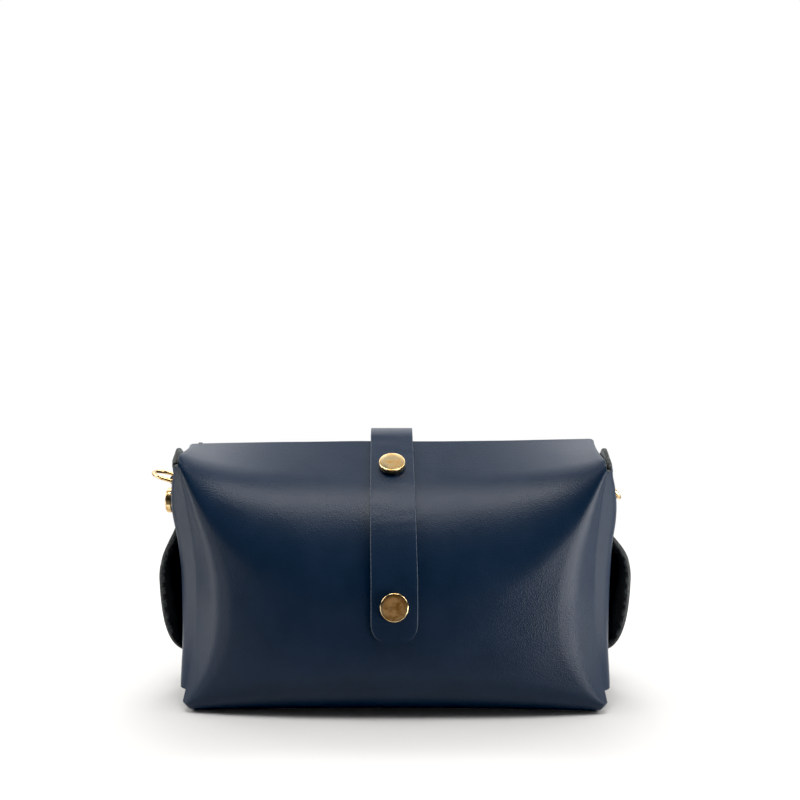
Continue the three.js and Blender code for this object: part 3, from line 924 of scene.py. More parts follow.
class LeatherSheet:
    """A sheet of quads that is thickened inwards, with rounded cut edges."""

    EDGE_DEPTHS = (0.12, 0.35, 0.65, 0.88)
    EDGE_BULGE = 0.22
    # width in mm of the painted pale highlight band along a cut edge
    EDGE_BAND = 2.2
    KEYS_PER_MM = 1000
    BLOCK = 4000

    def __init__(self) -> None:
        """Starts with no patches."""
        self.grids: list[np.ndarray] = []
        self.flips: list[bool] = []

    def patch(self, grid: np.ndarray, flip: bool) -> None:
        """Adds a grid of points. flip turns its faces round."""
        self.grids.append(grid)
        self.flips.append(flip)

    def welded(self) -> tuple[np.ndarray, np.ndarray]:
        """Joins the patches where their points meet.

        Returns:
            The points, and the quads as rows of four point numbers.
        """
        points = np.vstack([grid.reshape(-1, 3) for grid in self.grids])
        keys = np.rint(points * self.KEYS_PER_MM).astype(np.int64)
        _, first, number = np.unique(keys, axis=0, return_index=True, return_inverse=True)
        number = number.reshape(-1)
        quads, start = [], 0
        for grid, flip in zip(self.grids, self.flips):
            rows, columns = grid.shape[:2]
            ids = number[start : start + rows * columns].reshape(rows, columns)
            ring = [ids[:-1, :-1], ids[:-1, 1:], ids[1:, 1:], ids[1:, :-1]]
            quads.append(np.stack(ring[::-1] if flip else ring, -1).reshape(-1, 4))
            start += rows * columns
        return points[first], np.vstack(quads)

    @staticmethod
    def normals(points: np.ndarray, quads: np.ndarray) -> np.ndarray:
        """The outward normal at each point.

        Args:
            points: the points.
            quads: rows of four point numbers.

        Returns:
            Unit normals, one row for each point.
        """
        a, b, c, d = (points[quads[:, corner]] for corner in range(4))
        area = np.cross(c - a, d - b)
        total = np.zeros_like(points)
        for corner in range(4):
            np.add.at(total, quads[:, corner], area)
        return unit(total)

    @staticmethod
    def free_sides(quads: np.ndarray, size: int) -> np.ndarray:
        """The sides of quads that no other quad shares, as rows of two of size point numbers.

        Args:
            quads: rows of four point numbers.
            size: how many points there are.

        Returns:
            The free sides.
        """
        sides = np.vstack([quads[:, [k, (k + 1) % 4]] for k in range(4)])
        sides = sides[sides[:, 0] != sides[:, 1]]
        return sides[~np.isin(sides[:, 0] * size + sides[:, 1], sides[:, 1] * size + sides[:, 0])]

    def wear(self, points: np.ndarray, edge: np.ndarray, thick: float) -> np.ndarray:
        """How close each point is to a cut edge, for the painted pale highlight and torn fibres there: 1 at
        a cut edge, 0 well inside it.

        Args:
            points: the points.
            edge: points of the cut edge.
            thick: thickness of the leather.

        Returns:
            The wear of each point.
        """
        gap = np.zeros(len(points))
        for begin in range(0, len(points), self.BLOCK):
            block = points[begin : begin + self.BLOCK]
            away = ((block[:, None, :] - edge[None, ::2, :]) ** 2).sum(-1).min(1)
            gap[begin : begin + len(block)] = np.sqrt(away)
        return 1 - np.clip((gap - thick) / self.EDGE_BAND, 0, 1)

    def mesh(self, name: str, thick: float, relief: Callable[[np.ndarray], np.ndarray]) -> bpy.types.Mesh:
        """Thickens the sheet.

        Args:
            name: the mesh's name.
            thick: thickness of the leather.
            relief: gives how far the face is raised at each point.

        Returns:
            The closed mesh, with material numbers in the order of Finish and an edge_wear attribute.
        """
        points, quads = self.welded()
        normals = self.normals(points, quads)
        points = points + normals * relief(points)[:, None]
        size = len(points)
        free = self.free_sides(quads, size)
        rim = np.unique(free)
        aside = np.zeros_like(points)
        along = points[free[:, 1]] - points[free[:, 0]]
        for near, far in ((0, 1), (1, 0)):
            np.add.at(aside, free[:, near], unit(np.cross(along, normals[free[:, far]])))
        aside = unit(aside[rim])
        layers, ids = [points, points - normals * thick], [rim]
        for number, depth in enumerate(self.EDGE_DEPTHS):
            stand = self.EDGE_BULGE * (1 - abs(2 * depth - 1) ** 3)
            layers.append(points[rim] - normals[rim] * thick * depth + aside * stand)
            ids.append(2 * size + number * len(rim) + np.arange(len(rim)))
        ids.append(rim + size)
        faces = [quads, quads[:, ::-1] + size]
        kinds = [np.full(len(quads), Finish.GRAIN.value), np.full(len(quads), Finish.FLESH.value)]
        start, end = np.searchsorted(rim, free[:, 0]), np.searchsorted(rim, free[:, 1])
        for upper, lower in zip(ids, ids[1:]):
            faces.append(np.column_stack((upper[end], upper[start], lower[start], lower[end])))
            kinds.append(np.full(len(free), Finish.EDGE.value))
        every = np.vstack(layers)
        made = bpy.data.meshes.new(name)
        rings = [list(dict.fromkeys(face)) for face in np.vstack(faces).tolist()]
        whole = [k for k, ring in enumerate(rings) if len(ring) > 2]
        made.from_pydata((every * MM).tolist(), [], [rings[k] for k in whole])
        made.polygons.foreach_set("material_index", np.concatenate(kinds)[whole].astype(np.int32))
        # edge_wear: 1 at the cut edge, falling off inwards; the flesh side paints a pale highlight from it
        rubbed_with_painted_highlight = np.ones(len(every), np.float32)
        rubbed_with_painted_highlight[: 2 * size] = self.wear(every[: 2 * size], points[rim], thick)
        made.attributes.new("edge_wear", "FLOAT", "POINT").data.foreach_set("value", rubbed_with_painted_highlight)
        made.validate()
        return made


@dataclass
class Seat:
    """Where a stud sits: its place on the outer face, its axis outwards, and the leather that it grips."""

    at: np.ndarray
    axis: np.ndarray
    grip: float
    hole: float = 2.1
    drill: float = 11.0
    drill_sides: int = 24

    def circle(self, count: int) -> np.ndarray:
        """Ways outwards from the axis, evenly round it.

        Args:
            count: how many.

        Returns:
            Unit ways, one to a row.
        """
        other = np.array((1.0, 0.0, 0.0)) if abs(self.axis[0]) < 0.9 else np.array((0.0, 1.0, 0.0))
        first = unit(np.cross(self.axis, other))
        second = np.cross(self.axis, first)
        angles = np.linspace(0, 2 * math.pi, count, endpoint=False)[:, None]
        return np.cos(angles) * first + np.sin(angles) * second

    def drill_mesh(self) -> bpy.types.Mesh:
        """The hole's cutter.

        Returns:
            A closed mesh.
        """
        count = self.drill_sides
        ring = self.at + self.circle(count) * self.hole
        points = np.vstack((ring - self.axis * self.drill, ring + self.axis * self.drill))
        around = [[k, (k + 1) % count, (k + 1) % count + count, k + count] for k in range(count)]
        ends = [list(range(count))[::-1], list(range(count, 2 * count))]
        mesh = bpy.data.meshes.new("drill")
        mesh.from_pydata((points * MM).tolist(), [], around + ends)
        face_outwards(mesh)
        return mesh


def finish_leather(thing: bpy.types.Object, materials: list[bpy.types.Material], seats: list[Seat]) -> None:
    """Pierces a leather piece at the studs' seats, then shades it.

    Args:
        thing: the piece.
        materials: its materials in the order of Finish.
        seats: the seats of the studs that go through it.
    """
    mesh = thing.data
    kinds = np.zeros(len(mesh.polygons), np.int32)
    mesh.polygons.foreach_get("material_index", kinds)
    if len(mesh.materials):
        order = [materials.index(material) if material else 0 for material in mesh.materials]
        kinds = np.array(order, np.int32)[kinds]
    mesh.materials.clear()
    for material in materials:
        mesh.materials.append(material)
    mesh.polygons.foreach_set("material_index", kinds)
    drills = []
    for number, seat in enumerate(seats):
        drill = link_object(f"drill_{number}", seat.drill_mesh())
        for material in materials:
            drill.data.materials.append(material)
        drill.data.polygons.foreach_set("material_index", [Finish.EDGE.value] * len(drill.data.polygons))
        modifier = thing.modifiers.new(f"hole {number}", "BOOLEAN")
        modifier.operation = "DIFFERENCE"
        modifier.solver = "EXACT"
        modifier.object = drill
        drills.append(drill)
    settle(thing)
    for drill in drills:
        bpy.data.meshes.remove(drill.data)
    shade(thing.data, LEATHER_SHARP)


# Leather body

LEATHER = 1.8
CLEARANCE = 0.35
LAYER = LEATHER + CLEARANCE


@dataclass
class EndLine:
    """The line of one end of one half, with the lengths where its rows lie, in shares of the whole."""

    line: Line
    shares: np.ndarray
    low: float
    slit: float
    shoulder: float

    def lengths(self) -> np.ndarray:
        """The lengths along the line where its rows lie."""
        return self.shares * self.line.total


@dataclass
class Hide:
    """The folded hide: base, panels, lips, four side wings and two base flaps."""

    base_half: float = 93.6
    rim_half: float = 93.5
    lip_flare: float = 3.4
    lip_curve: float = 2.2
    lip_corner: float = 2.5
    mouth: float = 9.0
    back_drop: float = 1.8
    fullness: float = 2.4
    lean: float = -1.6
    lean_from: float = 60.0
    lean_over: float = 60.0
    fold: Fold = Fold()
    fold_tight: float = 6.5
    fold_full: float = 39.0
    fold_taper: float = 2.5
    wing_rim: float = 114.6
    wing_root: float = 30.0
    wing_round: float = 4.2
    wing_over: float = LEATHER + 0.65
    slit: float = 3.6
    flare_lift: float = 9.6
    flare_from: float = 26.0
    flare_low: float = 52.0
    flare_high: float = 86.0
    flap_length: float = 31.5
    flap_width: float = 0.9
    flap_turn: float = math.radians(118)
    flap_round: float = 4.0
    dimple_up: float = 91.5
    dimple_height: tuple[float, float] = (12.0, 30.0)
    dimple_width: tuple[float, float] = (7.0, 21.0)
    feet: dict[Half, float] = field(default_factory=lambda: {Half.FRONT: 9.0, Half.BACK: 12.8})
    tips: dict[Half, float] = field(default_factory=lambda: {Half.FRONT: -8.0, Half.BACK: -6.0})
    dimples: dict[End, float] = field(default_factory=lambda: {End.LEFT: 2.7, End.RIGHT: 5.7})
    side: tuple[tuple[float, float], ...] = (
        (0, 93.4),
        (9, 95.6),
        (24, 97.4),
        (44, 99),
        (62, 100),
        (72, 101.2),
        (82, 101.9),
        (90, 101.4),
        (98, 99.5),
        (104, 97.4),
        (114.6, 96.4),
    )
    rises: tuple[tuple[float, float], ...] = (
        (0, 0.2),
        (0.06, 0.4),
        (0.14, 0.68),
        (0.24, 1),
        (0.38, 0.78),
        (0.56, 0.48),
        (0.76, 0.3),
        (0.9, 0.16),
        (1, 0.04),
    )
    middle: tuple[Corner, ...] = (Corner(0, 0), Corner(50, 0, 22), Corner(50, 78.4, 74), Corner(1, 116.7))
    ends: dict[End, tuple[Corner, ...]] = field(
        default_factory=lambda: {
            End.LEFT: (Corner(0, 0), Corner(38, 0, 4.5), Corner(38, 113, 6), Corner(1, 115.4)),
            End.RIGHT: (Corner(0, 0), Corner(40, 0, 4.5), Corner(40, 110.2, 6), Corner(1, 118)),
        }
    )
    uneven_from: tuple[float, float] = (2.0, 22.0)
    swells: tuple[tuple[float, float, int], ...] = ((0.16, 62.0, 3), (0.05, 23.0, 8))
    row_counts: tuple[int, ...] = (14, 3, 10, 5, 64, 12, 22, 8)
    columns: tuple[tuple[float, int], ...] = ((0.62, 20), (0.88, 26), (1, 12))
    wing_columns: int = 40
    wing_crowd: float = 0.9
    bridge_columns: int = 3
    rim_rows: int = 8
    flap_columns: int = 22

    def __post_init__(self) -> None:
        """Works out the line of each end of each half."""
        self.lines = {(half, end): self._end_line(half, end) for half in Half for end in End}
        self.foot_row = sum(self.row_counts[:4])
        self.slit_row = sum(self.row_counts[:5])

    def corners(self, half: Half, end: End | None) -> list[Corner]:
        """The corners of the middle line, or of one end's.

        Args:
            half: front or back. The back's lip lies across the mouth and a little lower.
            end: left, right, or None for the middle.

        Returns:
            The corners from the middle of the base to the lip.
        """
        rows = list(self.middle if end is None else self.ends[end])
        if half is Half.BACK:
            rows[-1] = Corner(self.mouth - rows[-1].out, rows[-1].up - self.back_drop)
        return rows

    def _end_line(self, half: Half, end: End) -> EndLine:
        """The line of one end, with its rows.

        Args:
            half: front or back.
            end: left or right.

        Returns:
            The end's line.
        """
        corners = self.corners(half, end)
        line = Line(corners)
        low = corners[1].bend
        base, fold, wall, shoulder, lip = line.ends
        foot = fold + self.feet[half] - low
        stops = [0, base * self.flap_width, base, fold, foot, wall, shoulder, lip - self.lip_corner, lip]
        marks = [0.0]
        for start, stop, count in zip(stops, stops[1:], self.row_counts):
            marks.extend(np.linspace(start, stop, count + 1)[1:])
        return EndLine(line, np.array(marks) / line.total, low, float(line.at(wall)[0][0, 1]), shoulder)

    def lean_at(self, up: np.ndarray) -> np.ndarray:
        """How far the bag has settled sideways at a height."""
        return self.lean * np.maximum(0, up - self.lean_from) / self.lean_over

    def reach(self, up: np.ndarray, half: Half) -> np.ndarray:
        """Half width of the bag at a height. The back's wings lie over the front's.

        Args:
            up: heights.
            half: front or back.

        Returns:
            The half width at each height.
        """
        height = np.clip(up, 0, self.wing_rim)
        over = self.wing_over * smoothstep(height, 0, self.feet[half]) if half is Half.BACK else 0.0
        return through(self.side, height) + over

    def fold_size(self, up: np.ndarray, end: EndLine) -> np.ndarray:
        """Size of the vertical fold: tight at the corners of the panel, full between them.

        Args:
            up: heights.
            end: the end's line.

        Returns:
            The size at each height.
        """
        middle = (end.low + end.slit) / 2
        away = np.abs(up - middle) / ((end.slit - end.low) / 2)
        share = np.maximum(0, 1 - away**self.fold_taper)
        return self.fold_tight + (self.fold_full - self.fold_tight) * share

    def panel_half(self, up: np.ndarray) -> np.ndarray:
        """Half the width of the tube at a height."""
        return lerp(self.base_half, self.rim_half, up / self.wing_rim)

    def lip_spread(self, here: EndLine) -> np.ndarray:
        """How far the tube spreads at each row, towards the ends of the lip."""
        past = np.maximum(0, here.lengths() - here.shoulder)
        return self.lip_flare * (past / (here.line.total - here.shoulder)) ** self.lip_curve

    def tube_half(self, here: EndLine, up: np.ndarray) -> np.ndarray:
        """Half the width of the tube at each row. The lip's corners are cut round.

        Args:
            here: the end's line.
            up: the rows' heights.

        Returns:
            The half width at each row.
        """
        past = np.maximum(0, (here.shares - 1) * here.line.total + self.lip_corner)
        cut = self.lip_corner - np.sqrt(np.maximum(0, self.lip_corner**2 - past**2))
        return self.panel_half(up) + self.lip_spread(here) - cut

    def panel(self, half: Half, end: End) -> np.ndarray:
        """The grid of one end of one half, from the middle of the base to the lip.

        Args:
            half: front or back.
            end: left or right.

        Returns:
            Points by row and column, with the columns in rising order of X.
        """
        here = self.lines[half, end]
        level = (self.lines[half, End.LEFT].shares + self.lines[half, End.RIGHT].shares) / 2
        place, inward = here.line.at(here.lengths())
        end_up = place[:, 1]
        spans, size = self.reach(end_up, half) + self.lip_spread(here), self.fold_size(end_up, here)
        middle, tight = self.corners(half, None), self.corners(half, end)
        shares, columns = [0.0], []
        for stop, count in self.columns:
            shares.extend(np.linspace(shares[-1], stop, count + 1)[1:])
        for share in shares:
            full = share**self.fullness
            line = Line([a.mixed(b, full) for a, b in zip(middle, tight)])
            spots, _ = line.at(lerp(level, here.shares, full) * line.total)
            across, depth = self.fold.wrap(share * self.tube_half(here, end_up), spans, size)
            out, up = (spots + inward * depth[:, None]).T
            columns.append(np.column_stack((end.value * across + self.lean_at(up), half.value * out, up)))
        grid = np.stack(columns, 1)
        return grid if end is End.RIGHT else grid[:, ::-1]

    def wing_edge(self, up: np.ndarray, half: Half) -> np.ndarray:
        """How far out of the mid-plane a wing's free edge lies at a height.

        Args:
            up: heights.
            half: front or back.

        Returns:
            The distance at each height.
        """
        foot = self.feet[half]
        middle = (foot + self.wing_rim) / 2
        away = np.minimum(1, np.abs(up - middle) / ((self.wing_rim - foot) / 2))
        share = (1 - away**self.wing_round) ** (1 / self.wing_round)
        return lerp(self.wing_root, self.tips[half], share)

    def wing_points(self, half: Half, end: End, up: np.ndarray, along: np.ndarray) -> np.ndarray:
        """Points of a wing.

        Args:
            half: front or back.
            end: left or right.
            up: heights.
            along: lengths of hide from the middle of the bag's width.

        Returns:
            The points, with one more axis than up.
        """
        size = self.fold_size(up, self.lines[half, end])
        across, depth = self.fold.wrap(along, self.reach(up, half), size)
        out = self.ends[end][1].out - depth
        if half is Half.BACK:
            peel = np.maximum(0, self.flare_from - out) / (self.flare_from - self.tips[half])
            low = 1 - smoothstep(up, self.flare_low, self.flare_high)
            across = across + self.flare_lift * low * peel**2
        level = 1 - smoothstep(np.abs(up - self.dimple_up), *self.dimple_height)
        hollow = level * (1 - smoothstep(np.abs(out), *self.dimple_width))
        across = across - self.dimples[end] * hollow
        return np.stack((end.value * across + self.lean_at(up), half.value * out, up), -1)

    def wing_alongs(self, half: Half, end: End, up: np.ndarray, shares: np.ndarray) -> np.ndarray:
        """Lengths of hide to shares of a wing's width, by height and share.

        Args:
            half: front or back.
            end: left or right.
            up: heights.
            shares: shares of the width.

        Returns:
            The lengths, one row for each height.
        """
        inward = self.ends[end][1].out - self.wing_edge(up, half)
        size = self.fold_size(up, self.lines[half, end])
        tip = self.fold.along_to(inward, self.reach(up, half), size)
        return lerp((self.panel_half(up) + self.slit)[:, None], tip[:, None], shares[None, :])

    def wing(self, half: Half, end: End) -> tuple[np.ndarray, np.ndarray]:
        """A wing, and the rim that stands over it beyond the slit.

        Args:
            half: front or back.
            end: left or right.

        Returns:
            Two grids of points.
        """
        here = self.lines[half, end]
        place, _ = here.line.at(here.lengths()[self.foot_row : self.slit_row + 1])
        up = place[:, 1]
        shares = np.linspace(0, 1, self.wing_columns + 1) ** self.wing_crowd
        alongs = self.wing_alongs(half, end, up, shares)
        edge = self.panel_half(up)[:, None]
        bridge = lerp(edge, alongs[:, :1], np.linspace(0, 1, self.bridge_columns + 1)[None, :-1])
        alongs = np.hstack((bridge, alongs))
        wing = self.wing_points(half, end, np.broadcast_to(up[:, None], alongs.shape), alongs)
        along = self.wing_alongs(half, end, np.full(1, here.slit), shares)
        rise = (self.wing_rim - here.slit) * through(self.rises, shares)
        ups = here.slit + rise[None, :] * np.linspace(0, 1, self.rim_rows + 1)[:, None]
        rim = self.wing_points(half, end, ups, np.broadcast_to(along, ups.shape))
        return wing, rim

    def flap(self, half: Half, end: End) -> np.ndarray:
        """Half of the base's end flap, folded up and leaning in behind the wings.

        Args:
            half: front or back.
            end: left or right.

        Returns:
            A grid of points.
        """
        here = self.lines[half, end]
        corner = self.ends[end][1]
        place, _ = here.line.at(here.lengths()[: self.row_counts[0] + 1])
        out = place[:, 0]
        share = (1 - (out / (corner.out - corner.bend)) ** self.flap_round) ** (1 / self.flap_round)
        length = self.flap_length * share
        along = self.base_half + length[:, None] * np.linspace(0, 1, self.flap_columns + 1)[None, :]
        size = np.full(1, self.fold_tight)
        across, up = self.fold.wrap(along, self.reach(np.zeros(1), half), size, self.flap_turn)
        depth = np.broadcast_to(half.value * out[:, None], along.shape)
        return np.stack((end.value * across, depth, up), -1)

    def relief(self, points: np.ndarray) -> np.ndarray:
        """The slight unevenness of the hide's face, none of it where the base stands."""
        free = smoothstep(points[:, 2], *self.uneven_from)
        return free * sum(height * ripple(points, size, seed) for height, size, seed in self.swells)

    def build(self, palette: Palette, seats: list[Seat]) -> bpy.types.Object:
        """Folds the hide and pierces it for the studs.

        Args:
            palette: the materials.
            seats: the studs' seats.

        Returns:
            The finished piece.
        """
        sheet = LeatherSheet()
        for half in Half:
            for end in End:
                turned = half.value * end.value > 0
                sheet.patch(self.panel(half, end), half is Half.BACK)
                for grid in self.wing(half, end):
                    sheet.patch(grid, turned)
                sheet.patch(self.flap(half, end), turned)
        thing = link_object("folded_hide", sheet.mesh("folded_hide", LEATHER, self.relief))
        finish_leather(thing, palette.leather(), seats)
        return dress(thing, "bag", "navy_leather", "body_leather")


# Closing strap


@dataclass
class Strap:
    """The strap that runs from the back over the mouth to the front."""

    hide: Hide
    half: float = 10.0
    tip: float = 34.4
    tail: float = 46.0
    crest_bend: float = 17.0
    back_slope: float = math.radians(60)
    end_round: float = 3.0
    edge_round: float = 0.35
    end_rows: int = 25
    seat_steps: int = 4000
    plain_rows: int = 250
    pieces: int = 16
    sharp: float = 35.0
    crease_from: tuple[float, float] = (70.0, 92.0)
    crease_depth: float = 0.022
    crease_size: float = 4.2
    crease_stretch: float = 0.25
    crease_seed: int = 21

    def __post_init__(self) -> None:
        """Lays the strap's outer line in depth and height, from its tip on the front to its tail behind."""
        _, _, front, lip = self.hide.corners(Half.FRONT, None)
        _, _, rear, back_lip = self.hide.corners(Half.BACK, None)
        way = unit(np.array((front.out - lip.out, lip.up - front.up)))
        lean = math.atan2(way[1], way[0])
        lift = LAYER * math.tan((math.pi / 2 - lean) / 2)
        shoulder = np.array((-(front.out + LAYER), front.up + lift))
        bend = rear.bend + LAYER
        slope = math.atan2(back_lip.up - rear.up, rear.out - back_lip.out)
        drop = rear.bend * math.tan((math.pi / 2 - slope) / 2)
        centre = np.array((rear.out - rear.bend, rear.up - drop))
        touch = centre + bend * np.array((math.sin(self.back_slope), math.cos(self.back_slope)))
        down = np.array((math.cos(self.back_slope), -math.sin(self.back_slope)))
        crest = self._crossing(shoulder, way, touch, down)
        turn = self._crossing(touch, down, np.array((rear.out + LAYER, 0.0)), np.array((0.0, 1.0)))
        self.line = Line(
            [
                Corner(shoulder[0], self.tip),
                Corner(shoulder[0], shoulder[1], bend),
                Corner(crest[0], crest[1], self.crest_bend),
                Corner(turn[0], turn[1], bend),
                Corner(turn[0], self.tail),
            ]
        )

    @staticmethod
    def _crossing(a: np.ndarray, way_a: np.ndarray, b: np.ndarray, way_b: np.ndarray) -> np.ndarray:
        """Where two straights cross.

        Args:
            a: a point of the first.
            way_a: its way.
            b: a point of the second.
            way_b: its way.

        Returns:
            The crossing.
        """
        gap = b - a
        slant = way_a[0] * way_b[1] - way_a[1] * way_b[0]
        return a + way_a * (gap[0] * way_b[1] - gap[1] * way_b[0]) / slant

    def seat(self, test: Callable[[np.ndarray, np.ndarray], bool]) -> Seat:
        """The seat of a stud where a test on the place and the outward side first holds.

        Args:
            test: a function of a place on the strap's line and the side there.

        Returns:
            The seat.
        """
        lengths = np.linspace(0, self.line.total, self.seat_steps + 1)
        places, sides = self.line.at(lengths)
        found = next(k for k in range(len(lengths)) if test(places[k], sides[k]))
        (depth, up), side = places[found], sides[found]
        at = np.array((float(self.hide.lean_at(up)), depth, up))
        return Seat(at, np.array((0.0, side[0], side[1])), LAYER + LEATHER)

    def rows(self) -> Rows:
        """The strap's rows, close together at its rounded ends.

        Returns:
            The rows.
        """
        ends = np.linspace(0, 1, self.end_rows + 1)[:-1] ** 2 * self.half
        plain = np.linspace(self.half, self.line.total - self.half, self.plain_rows)
        lengths = np.concatenate((ends, plain, (self.line.total - ends)[::-1]))
        places, sides = self.line.at(lengths)
        from_end = np.minimum(lengths, self.line.total - lengths)
        away = np.maximum(0, 1 - from_end / self.half)
        spread = (1 - away**self.end_round) ** (1 / self.end_round)
        count = len(lengths)
        spots = np.column_stack((self.hide.lean_at(places[:, 1]), places))
        across = np.tile((1.0, 0.0, 0.0), (count, 1))
        return Rows(spots, across, np.column_stack((np.zeros(count), sides)), spread)

    def crease(self, mesh: bpy.types.Mesh) -> None:
        """Gives the strap's front bend the small creases of use, which run across it.

        Args:
            mesh: the strap's mesh, which is changed.
        """
        spots = np.zeros(len(mesh.vertices) * 3, np.float32)
        mesh.vertices.foreach_get("co", spots)
        spots = spots.reshape(-1, 3).astype(float)
        points = spots / MM
        normals = np.array([vertex.normal for vertex in mesh.vertices])
        bent = smoothstep(points[:, 2], *self.crease_from) * (points[:, 1] < 0) * (normals[:, 1] < 0)
        squeezed = points * np.array((self.crease_stretch, 1.0, 1.0))
        height = self.crease_depth * bent * ripple(squeezed, self.crease_size, self.crease_seed)
        spots = spots + normals * (height * MM)[:, None]
        mesh.vertices.foreach_set("co", spots.astype(np.float32).ravel())
        mesh.update()

    def build(self, palette: Palette, sweep: Sweep, seats: list[Seat]) -> bpy.types.Object:
        """Sweeps the strap, creases it, and pierces it for its studs.

        Args:
            palette: the materials.
            sweep: the sweeping tree.
            seats: the studs' seats.

        Returns:
            The finished piece.
        """
        section = strip_section(self.half, LEATHER, self.edge_round, self.pieces)
        thing = sweep.make("closing_strap_leather", self.rows(), section, palette.strap(), self.sharp)
        self.crease(thing.data)
        finish_leather(thing, palette.strap(), seats)
        return dress(thing, "bag", "navy_leather", "closing_strap")


# Studs


@dataclass
class Stud:
    """A disc-headed stud: head, collar under it, post through the leather and a washer inside."""

    head: float = 6.0
    head_under_round: float = 0.3
    top: float = 3.35
    rim_round: float = 0.45
    collar: float = 5.1
    collar_low: float = 0.06
    collar_top: float = 0.8
    collar_round: float = 0.15
    post: float = 1.7
    washer: float = 4.5
    washer_height: float = 1.0
    washer_round: float = 0.25
    steps: int = 72
    line_step: float = 2.0
    round_steps: int = 5
    sharp: float = 30.0

    def build(self, name: str, node: str, seat: Seat, palette: Palette, sweep: Sweep) -> bpy.types.Object:
        """Turns a stud on its seat.

        Args:
            name: the piece's name.
            node: the CAD node that it stands for.
            seat: where it sits.
            palette: the materials.
            sweep: the sweeping tree.

        Returns:
            The finished piece.
        """
        under = -seat.grip - CLEARANCE
        line = Line(
            [
                Corner(0, under - self.washer_height),
                Corner(self.washer, under - self.washer_height, self.washer_round),
                Corner(self.washer, under, self.washer_round),
                Corner(self.post, under),
                Corner(self.post, self.collar_low),
                Corner(self.collar, self.collar_low, self.collar_round),
                Corner(self.collar, self.collar_top),
                Corner(self.head, self.collar_top, self.head_under_round),
                Corner(self.head, self.top, self.rim_round),
                Corner(0, self.top),
            ]
        )
        marks = line.stations(self.line_step, self.round_steps)
        places, _ = line.at(marks)
        section = Section(places[:, ::-1], np.zeros(len(marks), int), closed=False)
        centres, axes = np.tile(seat.at, (self.steps, 1)), np.tile(seat.axis, (self.steps, 1))
        rows = Rows(centres, axes, seat.circle(self.steps), np.ones(self.steps), closed=True)
        thing = sweep.make(name, rows, section, [palette.gold], self.sharp)
        return dress(thing, "bag", "gold_metal", node)


# Ring tabs and rings


